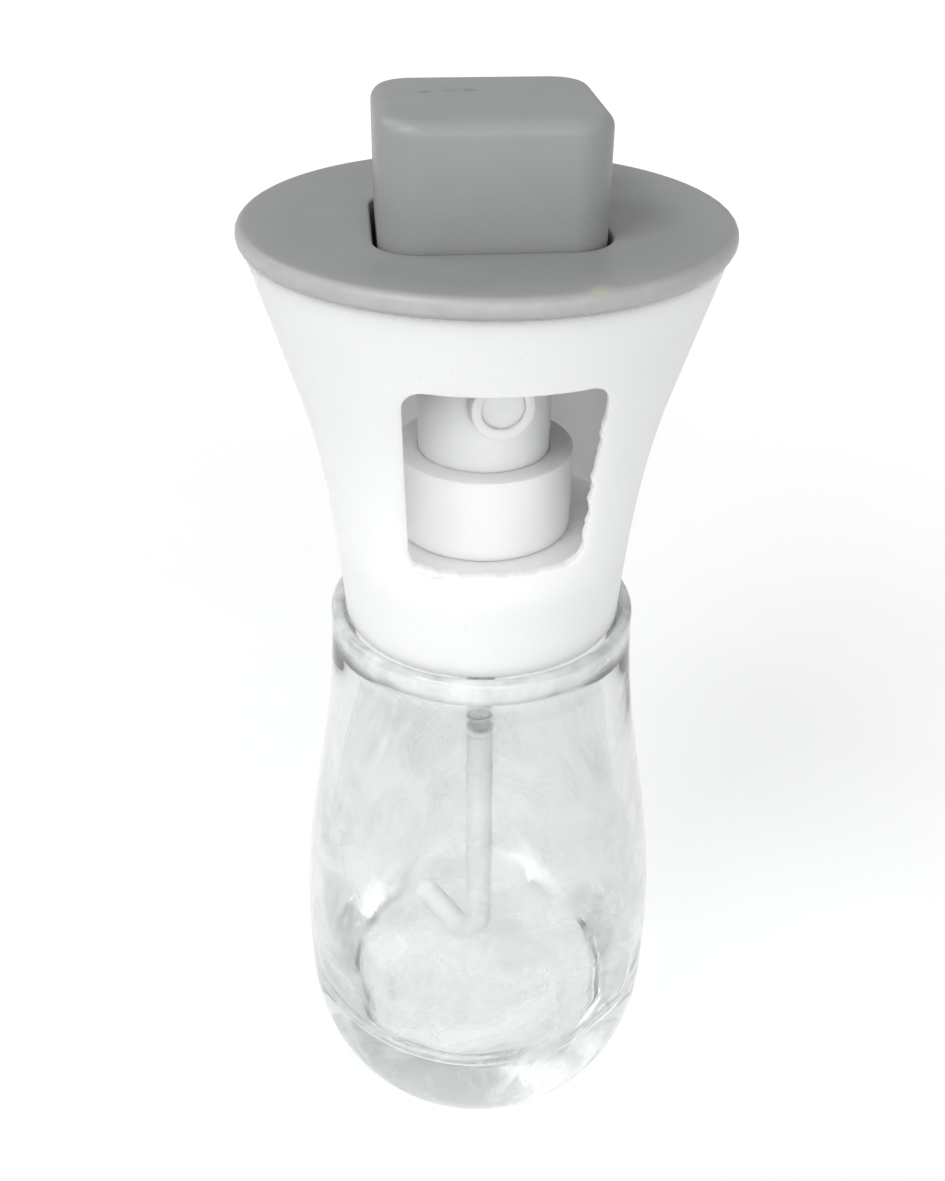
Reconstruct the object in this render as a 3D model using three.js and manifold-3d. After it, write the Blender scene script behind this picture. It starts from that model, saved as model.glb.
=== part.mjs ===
// Oil dispenser bottle: a glass bottle with a plug-in head that holds a finger pump.
// Millimetres, +Z up. The origin is the middle of the base, and the window faces -Y.

import * as THREE from 'three';
import { mergeVertices } from 'three/addons/utils/BufferGeometryUtils.js';
import Module from 'manifold-3d';

const wasm = await Module();
wasm.setup();

// Clearances
const FIT_GAP = 0.3;          // between a piece and the piece that it plugs into or slides in
const BUTTON_GAP = 0.7;       // between the button and the hole in the cover
const MOUTH_GAP = 0.75;       // between the housing's edge and the inside of the glass mouth
const STOP_GAP = 0.4;         // left under the actuator's skirt when the button is fully down

// Glass bottle
const BELLY_RADIUS = 33.24;
const LIP_RADIUS = 25.6;
const BOTTLE_HEIGHT = 105.5;
const HEEL_HEIGHT = 24;       // top of the rounded heel
const HEEL_REACH = 13.5;      // how far the heel draws in
const SHOULDER_START = 34;    // top of the straight belly
const PUSH_UP_RADIUS = 17.6;  // hollow under the base
const PUSH_UP_HEIGHT = 1.2;
const BASE_THICKNESS = 20;
const BELLY_WALL = 2.6;
const INNER_HEEL = 7;         // rounding of the inner floor
const THROAT_RADIUS = 21.9;   // narrowest inside, at the ledge
const LEDGE_DEPTH = 5.1;      // ledge below the lip
const MOUTH_WALL = 1.85;
const LIP_ROUND = 0.92;

// Gasket and neck adapter
const MOUTH_GASKET_THICKNESS = 1;
const EDGE_BELOW_LIP = 0.5;   // housing's lower edge below the lip
const SPIGOT_DEPTH = 6.4;
const SPIGOT_WALL = 1.6;
const ADAPTER_WEB = 2;
const SHOULDER_RADIUS = 14;   // ring that carries the housing's floor
const NECK_RADIUS = 11.4;
const NECK_BORE = 8.5;
const THREAD_GAP = 0.6;       // between neck and collar, where the thread runs

// Housing
const HOUSING_HEIGHT = 62.9;
const HOUSING_WALL = 2;
const HOUSING_FLOOR_HEIGHT = 16;     // top of its floor above its lower edge
const HOUSING_FLOOR = 1.8;
const FOOT_SLOPE = 0.065;     // growth of the radius per mm of height at the lower edge
const FLARE_SLOPE = 0.296;    // and at the top
const FLARE_HEIGHT = 42;      // height at which the flare turns straight
const WINDOW_SILL = 3.3;      // above the floor
const WINDOW_HEIGHT = 31.9;
const WINDOW_WIDTH_TOP = 28;
const WINDOW_WIDTH_BOTTOM = 26.4;
const WINDOW_CORNER = 3;

// Top cover
const COVER_RADIUS = 36;
const COVER_THICKNESS = 3.2;
const COVER_EDGE = 1.5;       // rounding of the rim
const COVER_DISH = 1;         // how far the middle lies below the rim
const COVER_DISH_RADIUS = 22;
const COVER_RING_WALL = 1.4;
const COVER_RING_DEPTH = 4;
const GUIDE_WALL = 1.3;
const GUIDE_DEPTH = 9;        // sleeve that guides the button
const GUIDE_ROOT = 1;         // how far the sleeve runs up into the plate

// Push button
const BUTTON_WIDTH = 32;
const BUTTON_DEPTH = 29.6;
const BUTTON_RISE = 16.3;     // top above the cover's rim
const BUTTON_CORNER = 6;
const BUTTON_FILLET = 2.1;
const BUTTON_WALL = 1.6;
const BUTTON_ROOF = 2.2;
const BUTTON_FLANGE = 1.8;    // lip that keeps the button in the cover
const BUTTON_FLANGE_THICKNESS = 2;
const BUTTON_STROKE = 5;
const POST_RADIUS = 6.2;
const POST_WALL = 1.6;

// Pump
const COLLAR_RADIUS = 14.2;
const COLLAR_HEIGHT = 13.5;
const COLLAR_EDGE = 0.3;      // chamfer round its top
const COLLAR_SHELF = 1.2;
const COLLAR_SHELF_BORE = 7.5;
const ACTUATOR_RADIUS = 10.45;
const ACTUATOR_HEIGHT = 17.6;
const ACTUATOR_WALL = 1.3;
const ACTUATOR_ROOF = 3.4;
const ACTUATOR_EDGE = 1;      // chamfer round its top
const ACTUATOR_TURN = 7.8;    // degrees, how far the nozzle looks to the right of the window
const SOCKET_WALL = 1.5;
const SOCKET_DEPTH = 5;
const NOZZLE_HEIGHT = 11.1;   // centre above the actuator's lower edge
const NOZZLE_REACH = 12.3;    // front of the boss from the axis
const NOZZLE_BOSS_RADIUS = 4.9;
const NOZZLE_INSERT_RADIUS = 3.35;
const NOZZLE_INSERT_DEPTH = 3;
const NOZZLE_RECESS = 0.7;
const ORIFICE_RADIUS = 0.6;
const PUMP_GASKET_THICKNESS = 1;
const PUMP_FLANGE_RADIUS = 9.5;
const PUMP_FLANGE = 1;
const BARREL_RADIUS = 4.9;
const BARREL_WALL = 1;
const BARREL_LENGTH = 48.4;   // from the flange's underside to the round end
const BARREL_FLOOR = 1.5;
const BARREL_ROUND = 1.4;
const TUBE_SOCKET_LENGTH = 7.5;
const TUBE_SOCKET_WALL = 0.7;
const INLET_RADIUS = 1;
const BALL_RADIUS = 1.5;
const STEM_RADIUS = 2;
const STEM_BORE = 1;
const STEM_FOOT = 1;          // flange that pushes the piston
const STEM_FOOT_RADIUS = 3;
const PISTON_LENGTH = 5;
const PISTON_HEIGHT = 23;     // piston's lower face above the barrel's floor
const RETAINER_LENGTH = 9;
const RETAINER_FLANGE = 1;
const RETAINER_GAP = 0.35;    // round the sliding stem
const OUTLET_BALL_RADIUS = 1.1;
const SPRING_RADIUS = 2.3;
const SPRING_WIRE = 0.35;
const SPRING_TURNS = 9;

// Dip tube
const TUBE_RADIUS = 2.4;
const TUBE_WALL = 0.7;
const TUBE_BEND = 9;
const TUBE_LOWEST = 4;        // its middle line above the inner floor
const TUBE_DIRECTION = 119.7; // degrees from +X, where the bent end points
const TUBE_THROAT_GAP = 0.5;  // left between its end and the throat when it is lifted out

// Fineness of round shapes: sides of a full turn, and steps of a single curve
const COARSE = 40;
const MEDIUM = 32;
const FINE = 20;
const SMALL = 8;
const BALL_SIDES = 12;
const COIL_STEPS = 9;         // of one turn of the spring
const CORNER_STEPS = 6;
const EDGE_STEPS = 3;
const HEEL_STEPS = 7;
const SHOULDER_STEPS = 10;
const INSIDE_STEPS = 8;
const LIP_STEPS = 4;
const FLARE_STEPS = 7;
const TUBE_STEPS = 22;

const CUT = 1;                // how far a cutting shape runs past what it cuts

// Levels and sizes that follow
const ledgeLevel = BOTTLE_HEIGHT - LEDGE_DEPTH;
const mouthRadius = LIP_RADIUS - MOUTH_WALL;
const housingLevel = BOTTLE_HEIGHT - EDGE_BELOW_LIP;
const housingFoot = mouthRadius - MOUTH_GAP;
const adapterLevel = ledgeLevel + MOUTH_GASKET_THICKNESS;
const flangeRadius = mouthRadius - FIT_GAP;
const spigotRadius = THROAT_RADIUS - FIT_GAP;
const floorLevel = housingLevel + HOUSING_FLOOR_HEIGHT;
const coverLevel = housingLevel + HOUSING_HEIGHT;
const rimLevel = coverLevel + COVER_THICKNESS;
const buttonTop = rimLevel + BUTTON_RISE;
const guideLevel = coverLevel - GUIDE_DEPTH;

const collarTop = floorLevel + COLLAR_HEIGHT;
const collarBore = ACTUATOR_RADIUS + FIT_GAP;
const threadBore = NECK_RADIUS + THREAD_GAP;
const actuatorLevel = collarTop;
const actuatorTop = actuatorLevel + ACTUATOR_HEIGHT;
const shelfTop = actuatorLevel - BUTTON_STROKE - STOP_GAP;
const shelfLevel = shelfTop - COLLAR_SHELF;
const pumpFlangeLevel = shelfLevel - PUMP_FLANGE;
const neckTop = pumpFlangeLevel - PUMP_GASKET_THICKNESS;
const barrelBore = BARREL_RADIUS - BARREL_WALL;
const barrelEnd = pumpFlangeLevel - BARREL_LENGTH;
const barrelFloor = barrelEnd + BARREL_FLOOR;
const tubeSocketRadius = TUBE_RADIUS + FIT_GAP + TUBE_SOCKET_WALL;
const tubeTop = barrelEnd - FIT_GAP;
const pistonLevel = barrelFloor + PISTON_HEIGHT;
const stemFootLevel = pistonLevel - STEM_FOOT;
const nozzleLevel = actuatorLevel + NOZZLE_HEIGHT;
const stemSocketRadius = STEM_RADIUS + FIT_GAP;
const outletSeatRadius = OUTLET_BALL_RADIUS + FIT_GAP;
const stemTop = nozzleLevel - NOZZLE_INSERT_RADIUS;
const socketLevel = stemTop - SOCKET_DEPTH;

const white = plastic(0xf3f4f3, 0.42);
const grey = plastic(0xa0a1a0, 0.5);
const milky = plastic(0xe4e6e4, 0.4);
const clear = glassy(0xdfe4e2, 0.12);
const glass = glassy(0xd3dbd8, 0.03);
const rubber = plastic(0xdcdedb, 0.6);
const steel = () => new THREE.MeshStandardMaterial({ color: 0xb9bcbe, roughness: 0.3, metalness: 1 });

function plastic(color, roughness) {
  return () => new THREE.MeshStandardMaterial({ color, roughness, metalness: 0 });
}

function glassy(color, roughness) {
  return () => new THREE.MeshStandardMaterial({
    color, roughness, metalness: 0, transparent: true, opacity: 0.45,
  });
}

// Points of an elliptic arc in the plane of radius and height, from one angle to another in degrees.
function arc(radius, height, reach, rise, from, to, steps) {
  return Array.from({ length: steps + 1 }, (unused, step) => {
    const angle = THREE.MathUtils.degToRad(from + ((to - from) * step) / steps);
    return [radius + reach * Math.cos(angle), height + rise * Math.sin(angle)];
  });
}

// Half a cosine wave that leads from one radius to another over a height.
function swell(fromRadius, fromHeight, toRadius, toHeight, steps) {
  return Array.from({ length: steps + 1 }, (unused, step) => {
    const share = step / steps;
    const turned = (1 - Math.cos(Math.PI * share)) / 2;
    return [
      fromRadius + (toRadius - fromRadius) * turned,
      fromHeight + (toHeight - fromHeight) * share,
    ];
  });
}

// A turned piece: the profile runs anticlockwise, with radius to the right and height upwards.
function turned(profile, segments) {
  const points = profile.map(([radius, height]) => new THREE.Vector2(radius, height));
  return new THREE.LatheGeometry(points, segments).rotateX(Math.PI / 2);
}

// A turned ring closes its profile on its first point.
function ring(profile, segments) {
  return turned([...profile, profile[0]], segments);
}

function tubeRing(inner, outer, bottom, top, segments) {
  return ring([[inner, bottom], [outer, bottom], [outer, top], [inner, top]], segments);
}

function disc(radius, bottom, top, segments) {
  return turned([[0, bottom], [radius, bottom], [radius, top], [0, top]], segments);
}

// A closed geometry as a solid that can be joined and cut.
function solid(geometry) {
  const bare = geometry.clone();
  bare.deleteAttribute('normal');
  bare.deleteAttribute('uv');
  const merged = mergeVertices(bare);
  const corners = merged.index.array;
  const kept = [];
  for (let corner = 0; corner < corners.length; corner += 3) {
    const [a, b, c] = corners.slice(corner, corner + 3);
    if (a !== b && b !== c && c !== a) kept.push(a, b, c);
  }
  return new wasm.Manifold(new wasm.Mesh({
    numProp: 3,
    vertProperties: new Float32Array(merged.attributes.position.array),
    triVerts: new Uint32Array(kept),
  }));
}

function geometryOf(body) {
  const mesh = body.getMesh();
  const geometry = new THREE.BufferGeometry();
  geometry.setAttribute('position', new THREE.BufferAttribute(mesh.vertProperties, 3));
  geometry.setIndex(new THREE.BufferAttribute(mesh.triVerts, 1));
  geometry.computeVertexNormals();
  return geometry;
}

function named(name, geometry, material) {
  const mesh = new THREE.Mesh(geometry, material());
  mesh.name = name;
  return mesh;
}

function roundedRectangle(width, depth, corner) {
  const x = width / 2 - corner;
  const y = depth / 2 - corner;
  const shape = new THREE.Shape();
  shape.absarc(x, y, corner, 0, Math.PI / 2);
  shape.absarc(-x, y, corner, Math.PI / 2, Math.PI);
  shape.absarc(-x, -y, corner, Math.PI, 1.5 * Math.PI);
  shape.absarc(x, -y, corner, 1.5 * Math.PI, 2 * Math.PI);
  return shape;
}

function upright(shape, bottom, top) {
  const geometry = new THREE.ExtrudeGeometry(shape, {
    depth: top - bottom, bevelEnabled: false, curveSegments: CORNER_STEPS,
  });
  return geometry.translate(0, 0, bottom);
}

// A rod that runs from the axis straight out to the front.
function frontRod(radius, from, to, height, segments) {
  const geometry = new THREE.CylinderGeometry(radius, radius, to - from, segments);
  return geometry.translate(0, -(from + to) / 2, height);
}

// Outer radius of the housing at a height above its lower edge: a growing slope, then a straight one.
function housingRadius(height) {
  const curved = Math.min(height, FLARE_HEIGHT);
  const gain = ((FLARE_SLOPE - FOOT_SLOPE) * curved ** 3) / (3 * FLARE_HEIGHT ** 2);
  const straight = Math.max(height - FLARE_HEIGHT, 0);
  return housingFoot + FOOT_SLOPE * curved + gain + FLARE_SLOPE * straight;
}

function housingPoint(inset, height) {
  return [housingRadius(height) - inset, housingLevel + height];
}

function housingSide(inset, from, to, steps) {
  return Array.from(
    { length: steps + 1 }, (unused, step) => housingPoint(inset, from + ((to - from) * step) / steps),
  );
}

function glassBottle() {
  const footRadius = BELLY_RADIUS - HEEL_REACH;
  const innerRadius = BELLY_RADIUS - BELLY_WALL;
  const lipMiddle = BOTTLE_HEIGHT - LIP_ROUND;
  const pushUp = arc(0, 0, PUSH_UP_RADIUS, PUSH_UP_HEIGHT, 90, 0, EDGE_STEPS);
  const heel = arc(footRadius, HEEL_HEIGHT, HEEL_REACH, HEEL_HEIGHT, 270, 360, HEEL_STEPS);
  const shoulder = swell(
    BELLY_RADIUS, SHOULDER_START, LIP_RADIUS, housingLevel, SHOULDER_STEPS,
  ).slice(0, -1);
  const lip = arc(LIP_RADIUS - LIP_ROUND, lipMiddle, LIP_ROUND, LIP_ROUND, 0, 180, LIP_STEPS);
  const inside = swell(THROAT_RADIUS, ledgeLevel, innerRadius, SHOULDER_START, INSIDE_STEPS);
  const floor = arc(
    innerRadius - INNER_HEEL, BASE_THICKNESS + INNER_HEEL, INNER_HEEL, INNER_HEEL, 360, 270,
    EDGE_STEPS,
  );
  return turned([
    ...pushUp, ...heel, ...shoulder, ...lip, [mouthRadius, ledgeLevel], ...inside, ...floor,
    [0, BASE_THICKNESS],
  ], COARSE);
}

function mouthGasket() {
  return tubeRing(THROAT_RADIUS + FIT_GAP, flangeRadius, ledgeLevel, adapterLevel, COARSE);
}

// Plug with a spigot in the throat, a flange under the housing's edge and a neck for the collar.
function neckAdapter() {
  const spigotBottom = adapterLevel - SPIGOT_DEPTH;
  const webTop = adapterLevel + ADAPTER_WEB;
  const shoulderUnder = floorLevel - HOUSING_FLOOR;
  const housingInside = housingFoot - HOUSING_WALL;
  return ring([
    [NECK_BORE, adapterLevel],
    [spigotRadius - SPIGOT_WALL, adapterLevel],
    [spigotRadius - SPIGOT_WALL, spigotBottom],
    [spigotRadius, spigotBottom],
    [spigotRadius, adapterLevel],
    [flangeRadius, adapterLevel],
    [flangeRadius, housingLevel],
    [housingInside, housingLevel],
    [housingInside, webTop],
    [SHOULDER_RADIUS, webTop],
    [SHOULDER_RADIUS, shoulderUnder],
    [NECK_RADIUS, shoulderUnder],
    [NECK_RADIUS, neckTop],
    [NECK_BORE, neckTop],
  ], COARSE);
}

function windowCutter() {
  const sill = floorLevel + WINDOW_SILL;
  const corners = [
    [WINDOW_WIDTH_BOTTOM / 2 - WINDOW_CORNER, sill + WINDOW_CORNER, -Math.PI / 2, 0],
    [WINDOW_WIDTH_TOP / 2 - WINDOW_CORNER, sill + WINDOW_HEIGHT - WINDOW_CORNER, 0, Math.PI / 2],
    [WINDOW_CORNER - WINDOW_WIDTH_TOP / 2, sill + WINDOW_HEIGHT - WINDOW_CORNER, Math.PI / 2, Math.PI],
    [WINDOW_CORNER - WINDOW_WIDTH_BOTTOM / 2, sill + WINDOW_CORNER, Math.PI, 1.5 * Math.PI],
  ];
  const shape = new THREE.Shape();
  for (const [x, z, from, to] of corners) shape.absarc(x, z, WINDOW_CORNER, from, to);
  const geometry = new THREE.ExtrudeGeometry(shape, {
    depth: COVER_RADIUS, bevelEnabled: false, curveSegments: CORNER_STEPS,
  });
  return solid(geometry.rotateX(Math.PI / 2));
}

function housing() {
  const floorUnder = HOUSING_FLOOR_HEIGHT - HOUSING_FLOOR;
  const hole = NECK_RADIUS + FIT_GAP;
  const shell = ring([
    ...housingSide(0, 0, FLARE_HEIGHT, FLARE_STEPS),
    housingPoint(0, HOUSING_HEIGHT),
    housingPoint(HOUSING_WALL, HOUSING_HEIGHT),
    ...housingSide(HOUSING_WALL, FLARE_HEIGHT, HOUSING_FLOOR_HEIGHT, FLARE_STEPS - EDGE_STEPS),
    [hole, floorLevel],
    [hole, housingLevel + floorUnder],
    ...housingSide(HOUSING_WALL, floorUnder, 0, EDGE_STEPS),
  ], COARSE);
  return geometryOf(solid(shell).subtract(windowCutter()));
}

function topCover() {
  const ringRadius = housingRadius(HOUSING_HEIGHT - COVER_RING_DEPTH) - HOUSING_WALL - FIT_GAP;
  const edge = COVER_RADIUS - COVER_EDGE;
  const plate = turned([
    [0, coverLevel],
    [ringRadius - COVER_RING_WALL, coverLevel],
    [ringRadius - COVER_RING_WALL, coverLevel - COVER_RING_DEPTH],
    [ringRadius, coverLevel - COVER_RING_DEPTH],
    [ringRadius, coverLevel],
    ...arc(edge, coverLevel + COVER_EDGE, COVER_EDGE, COVER_EDGE, 270, 360, EDGE_STEPS),
    ...arc(edge, rimLevel - COVER_EDGE, COVER_EDGE, COVER_EDGE, 0, 90, EDGE_STEPS),
    [COVER_DISH_RADIUS, rimLevel - COVER_DISH],
    [0, rimLevel - COVER_DISH],
  ], COARSE);
  const width = BUTTON_WIDTH + 2 * BUTTON_GAP;
  const depth = BUTTON_DEPTH + 2 * BUTTON_GAP;
  const corner = BUTTON_CORNER + BUTTON_GAP;
  const sleeve = roundedRectangle(
    width + 2 * GUIDE_WALL, depth + 2 * GUIDE_WALL, corner + GUIDE_WALL,
  );
  const hole = roundedRectangle(width, depth, corner);
  return geometryOf(
    solid(plate)
      .add(solid(upright(sleeve, guideLevel, coverLevel + GUIDE_ROOT)))
      .subtract(solid(upright(hole, guideLevel - CUT, rimLevel + CUT))),
  );
}

// Hollow cap with a lip below the cover's sleeve and a post that stands on the actuator.
function pushButton() {
  const lipTop = guideLevel - FIT_GAP;
  const lipBottom = lipTop - BUTTON_FLANGE_THICKNESS;
  const shape = roundedRectangle(BUTTON_WIDTH, BUTTON_DEPTH, BUTTON_CORNER);
  const cap = new THREE.ExtrudeGeometry(shape, {
    depth: buttonTop - lipBottom - BUTTON_FILLET,
    bevelThickness: BUTTON_FILLET,
    bevelSize: BUTTON_FILLET,
    bevelOffset: -BUTTON_FILLET,
    bevelSegments: EDGE_STEPS,
    curveSegments: CORNER_STEPS,
  }).translate(0, 0, lipBottom);
  const below = roundedRectangle(2 * BUTTON_WIDTH, 2 * BUTTON_WIDTH, BUTTON_CORNER);
  const lip = roundedRectangle(
    BUTTON_WIDTH + 2 * BUTTON_FLANGE, BUTTON_DEPTH + 2 * BUTTON_FLANGE, BUTTON_CORNER + BUTTON_FLANGE,
  );
  const inside = roundedRectangle(
    BUTTON_WIDTH - 2 * BUTTON_WALL, BUTTON_DEPTH - 2 * BUTTON_WALL, BUTTON_CORNER - BUTTON_WALL,
  );
  const roofUnder = buttonTop - BUTTON_ROOF;
  const post = tubeRing(POST_RADIUS - POST_WALL, POST_RADIUS, actuatorTop, roofUnder + CUT, FINE);
  return geometryOf(
    solid(cap)
      .subtract(solid(upright(below, lipBottom - 2 * BUTTON_FILLET, lipBottom)))
      .add(solid(upright(lip, lipBottom, lipTop)))
      .subtract(solid(upright(inside, lipBottom - CUT, roofUnder)))
      .add(solid(post)),
  );
}

function pumpCollar() {
  return ring([
    [threadBore, floorLevel],
    [COLLAR_RADIUS, floorLevel],
    [COLLAR_RADIUS, collarTop - COLLAR_EDGE],
    [COLLAR_RADIUS - COLLAR_EDGE, collarTop],
    [collarBore, collarTop],
    [collarBore, shelfTop],
    [COLLAR_SHELF_BORE, shelfTop],
    [COLLAR_SHELF_BORE, shelfLevel],
    [threadBore, shelfLevel],
  ], MEDIUM);
}

function pumpGasket() {
  return tubeRing(
    BARREL_RADIUS + FIT_GAP, NECK_RADIUS - FIT_GAP, neckTop, pumpFlangeLevel, MEDIUM,
  );
}

function pumpBody() {
  const top = shelfLevel;
  const socketEnd = barrelEnd - TUBE_SOCKET_LENGTH;
  return ring([
    [INLET_RADIUS, barrelEnd],
    [TUBE_RADIUS + FIT_GAP, barrelEnd],
    [TUBE_RADIUS + FIT_GAP, socketEnd],
    [tubeSocketRadius, socketEnd],
    [tubeSocketRadius, barrelEnd],
    ...arc(
      BARREL_RADIUS - BARREL_ROUND, barrelEnd + BARREL_ROUND, BARREL_ROUND, BARREL_ROUND, 270, 360,
      EDGE_STEPS,
    ),
    [BARREL_RADIUS, pumpFlangeLevel],
    [PUMP_FLANGE_RADIUS, pumpFlangeLevel],
    [PUMP_FLANGE_RADIUS, top],
    [barrelBore, top],
    [barrelBore, barrelFloor],
    [INLET_RADIUS, barrelFloor],
  ], FINE);
}

function stemRetainer() {
  const bore = STEM_RADIUS + RETAINER_GAP;
  const outer = barrelBore - FIT_GAP;
  return ring([
    [bore, shelfLevel - RETAINER_LENGTH],
    [outer, shelfLevel - RETAINER_LENGTH],
    [outer, shelfLevel],
    [COLLAR_SHELF_BORE - FIT_GAP, shelfLevel],
    [COLLAR_SHELF_BORE - FIT_GAP, shelfLevel + RETAINER_FLANGE],
    [bore, shelfLevel + RETAINER_FLANGE],
  ], FINE);
}

function ball(radius, height) {
  return new THREE.SphereGeometry(radius, BALL_SIDES, SMALL).rotateX(Math.PI / 2).translate(0, 0, height);
}

function inletBall() {
  const rise = Math.sqrt(BALL_RADIUS ** 2 - INLET_RADIUS ** 2);
  return ball(BALL_RADIUS, barrelFloor + rise + FIT_GAP);
}

function returnSpring() {
  const bottom = barrelFloor + SPRING_WIRE + FIT_GAP;
  const top = stemFootLevel - SPRING_WIRE - FIT_GAP;
  const steps = SPRING_TURNS * COIL_STEPS;
  const path = new THREE.CatmullRomCurve3(Array.from({ length: steps + 1 }, (unused, step) => {
    const angle = (2 * Math.PI * SPRING_TURNS * step) / steps;
    const height = bottom + ((top - bottom) * step) / steps;
    return new THREE.Vector3(
      SPRING_RADIUS * Math.cos(angle), SPRING_RADIUS * Math.sin(angle), height,
    );
  }));
  const wire = new THREE.Shape().absarc(0, 0, SPRING_WIRE, 0, 2 * Math.PI);
  return new THREE.ExtrudeGeometry(wire, { steps, extrudePath: path, curveSegments: EDGE_STEPS });
}

function piston() {
  return tubeRing(
    STEM_RADIUS + FIT_GAP, barrelBore - FIT_GAP, pistonLevel, pistonLevel + PISTON_LENGTH, FINE,
  );
}

// Hollow rod, closed at its foot below the piston, with a side port above the piston's middle.
function pumpStem() {
  const rod = turned([
    [0, stemFootLevel],
    [STEM_FOOT_RADIUS, stemFootLevel],
    [STEM_FOOT_RADIUS, pistonLevel],
    [STEM_RADIUS, pistonLevel],
    [STEM_RADIUS, stemTop],
    [outletSeatRadius, stemTop],
    [STEM_BORE, stemTop - OUTLET_BALL_RADIUS],
    [STEM_BORE, pistonLevel],
    [0, pistonLevel],
  ], FINE);
  const port = new THREE.CylinderGeometry(STEM_BORE / 2, STEM_BORE / 2, 2 * STEM_FOOT_RADIUS, SMALL);
  const portLevel = pistonLevel + PISTON_LENGTH + STEM_BORE;
  return geometryOf(solid(rod).subtract(solid(port.translate(0, 0, portLevel))));
}

function outletBall() {
  return ball(OUTLET_BALL_RADIUS, stemTop - OUTLET_BALL_RADIUS / 2 + FIT_GAP);
}

// Skirted cap with a socket for the stem, a channel to the front and a boss for the nozzle.
function actuator() {
  const roofUnder = actuatorTop - ACTUATOR_ROOF;
  const skirtInside = ACTUATOR_RADIUS - ACTUATOR_WALL;
  const body = turned([
    [0, socketLevel],
    [stemSocketRadius + SOCKET_WALL, socketLevel],
    [stemSocketRadius + SOCKET_WALL, roofUnder],
    [skirtInside, roofUnder],
    [skirtInside, actuatorLevel],
    [ACTUATOR_RADIUS, actuatorLevel],
    [ACTUATOR_RADIUS, actuatorTop - ACTUATOR_EDGE],
    [ACTUATOR_RADIUS - ACTUATOR_EDGE, actuatorTop],
    [POST_RADIUS - POST_WALL - FIT_GAP, actuatorTop],
    [POST_RADIUS - POST_WALL - FIT_GAP, actuatorTop + SOCKET_DEPTH],
    [0, actuatorTop + SOCKET_DEPTH],
  ], MEDIUM);
  const pocketRadius = NOZZLE_INSERT_RADIUS + FIT_GAP;
  const pocketFloor = NOZZLE_REACH - NOZZLE_RECESS - NOZZLE_INSERT_DEPTH - FIT_GAP;
  const boss = frontRod(NOZZLE_BOSS_RADIUS, 0, NOZZLE_REACH, nozzleLevel, FINE);
  const pocket = frontRod(pocketRadius, pocketFloor, NOZZLE_REACH + CUT, nozzleLevel, FINE);
  const channel = frontRod(STEM_BORE, 0, NOZZLE_REACH, nozzleLevel, SMALL);
  const riser = disc(outletSeatRadius, stemTop, nozzleLevel + STEM_BORE, BALL_SIDES);
  const stemSocket = disc(stemSocketRadius, socketLevel - CUT, stemTop + FIT_GAP, MEDIUM);
  return geometryOf(
    solid(body).add(solid(boss)).subtract(solid(pocket)).subtract(solid(channel))
      .subtract(solid(riser))
      .subtract(solid(stemSocket)),
  );
}

function nozzleInsert() {
  const front = NOZZLE_REACH - NOZZLE_RECESS;
  const back = front - NOZZLE_INSERT_DEPTH;
  const plug = frontRod(NOZZLE_INSERT_RADIUS, back, front, nozzleLevel, FINE);
  const orifice = frontRod(ORIFICE_RADIUS, back - CUT, front + CUT, nozzleLevel, SMALL);
  return geometryOf(solid(plug).subtract(solid(orifice)));
}

// Straight down from the pump, one bend, then level towards the wall.
function dipTube() {
  const level = BASE_THICKNESS + TUBE_LOWEST;
  const reach = THROAT_RADIUS - TUBE_THROAT_GAP - TUBE_RADIUS;
  const angle = THREE.MathUtils.degToRad(TUBE_DIRECTION);
  const at = (out, height) => new THREE.Vector3(
    out * Math.cos(angle), out * Math.sin(angle), height,
  );
  const bend = arc(TUBE_BEND, level + TUBE_BEND, TUBE_BEND, TUBE_BEND, 180, 270, CORNER_STEPS);
  const path = new THREE.CatmullRomCurve3([
    at(0, tubeTop),
    at(0, (tubeTop + level + TUBE_BEND) / 2),
    ...bend.map(([out, height]) => at(out, height)),
    at((TUBE_BEND + reach) / 2, level),
    at(reach, level),
  ]);
  const section = new THREE.Shape().absarc(0, 0, TUBE_RADIUS, 0, 2 * Math.PI);
  section.holes.push(new THREE.Path().absarc(0, 0, TUBE_RADIUS - TUBE_WALL, 0, 2 * Math.PI, true));
  return new THREE.ExtrudeGeometry(section, {
    steps: TUBE_STEPS, extrudePath: path, curveSegments: CORNER_STEPS,
  });
}

const group = new THREE.Group();
group.name = 'oil_dispenser_bottle';

group.add(
  named('glass_bottle', glassBottle(), glass),
  named('mouth_gasket', mouthGasket(), rubber),
  named('neck_adapter', neckAdapter(), clear),
  named('housing', housing(), white),
  named('top_cover', topCover(), grey),
  named('push_button', pushButton(), grey),
  named('pump_collar', pumpCollar(), white),
  named('pump_gasket', pumpGasket(), rubber),
  named('pump_body', pumpBody(), milky),
  named('stem_retainer', stemRetainer(), white),
  named('inlet_ball', inletBall(), steel),
  named('return_spring', returnSpring(), steel),
  named('piston', piston(), milky),
  named('pump_stem', pumpStem(), white),
  named('outlet_ball', outletBall(), steel),
  named('dip_tube', dipTube(), milky),
);

// The actuator and its nozzle are turned a little to the right of the window.
const turnedHead = new THREE.Group();
turnedHead.rotation.z = THREE.MathUtils.degToRad(ACTUATOR_TURN);
turnedHead.add(
  named('actuator', actuator(), white),
  named('nozzle_insert', nozzleInsert(), white),
);
group.add(turnedHead);

export default group;
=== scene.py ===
"""Looks of the oil dispenser bottle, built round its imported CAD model."""

import math
import random

import bpy
from mathutils import Matrix, Vector, noise


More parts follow.
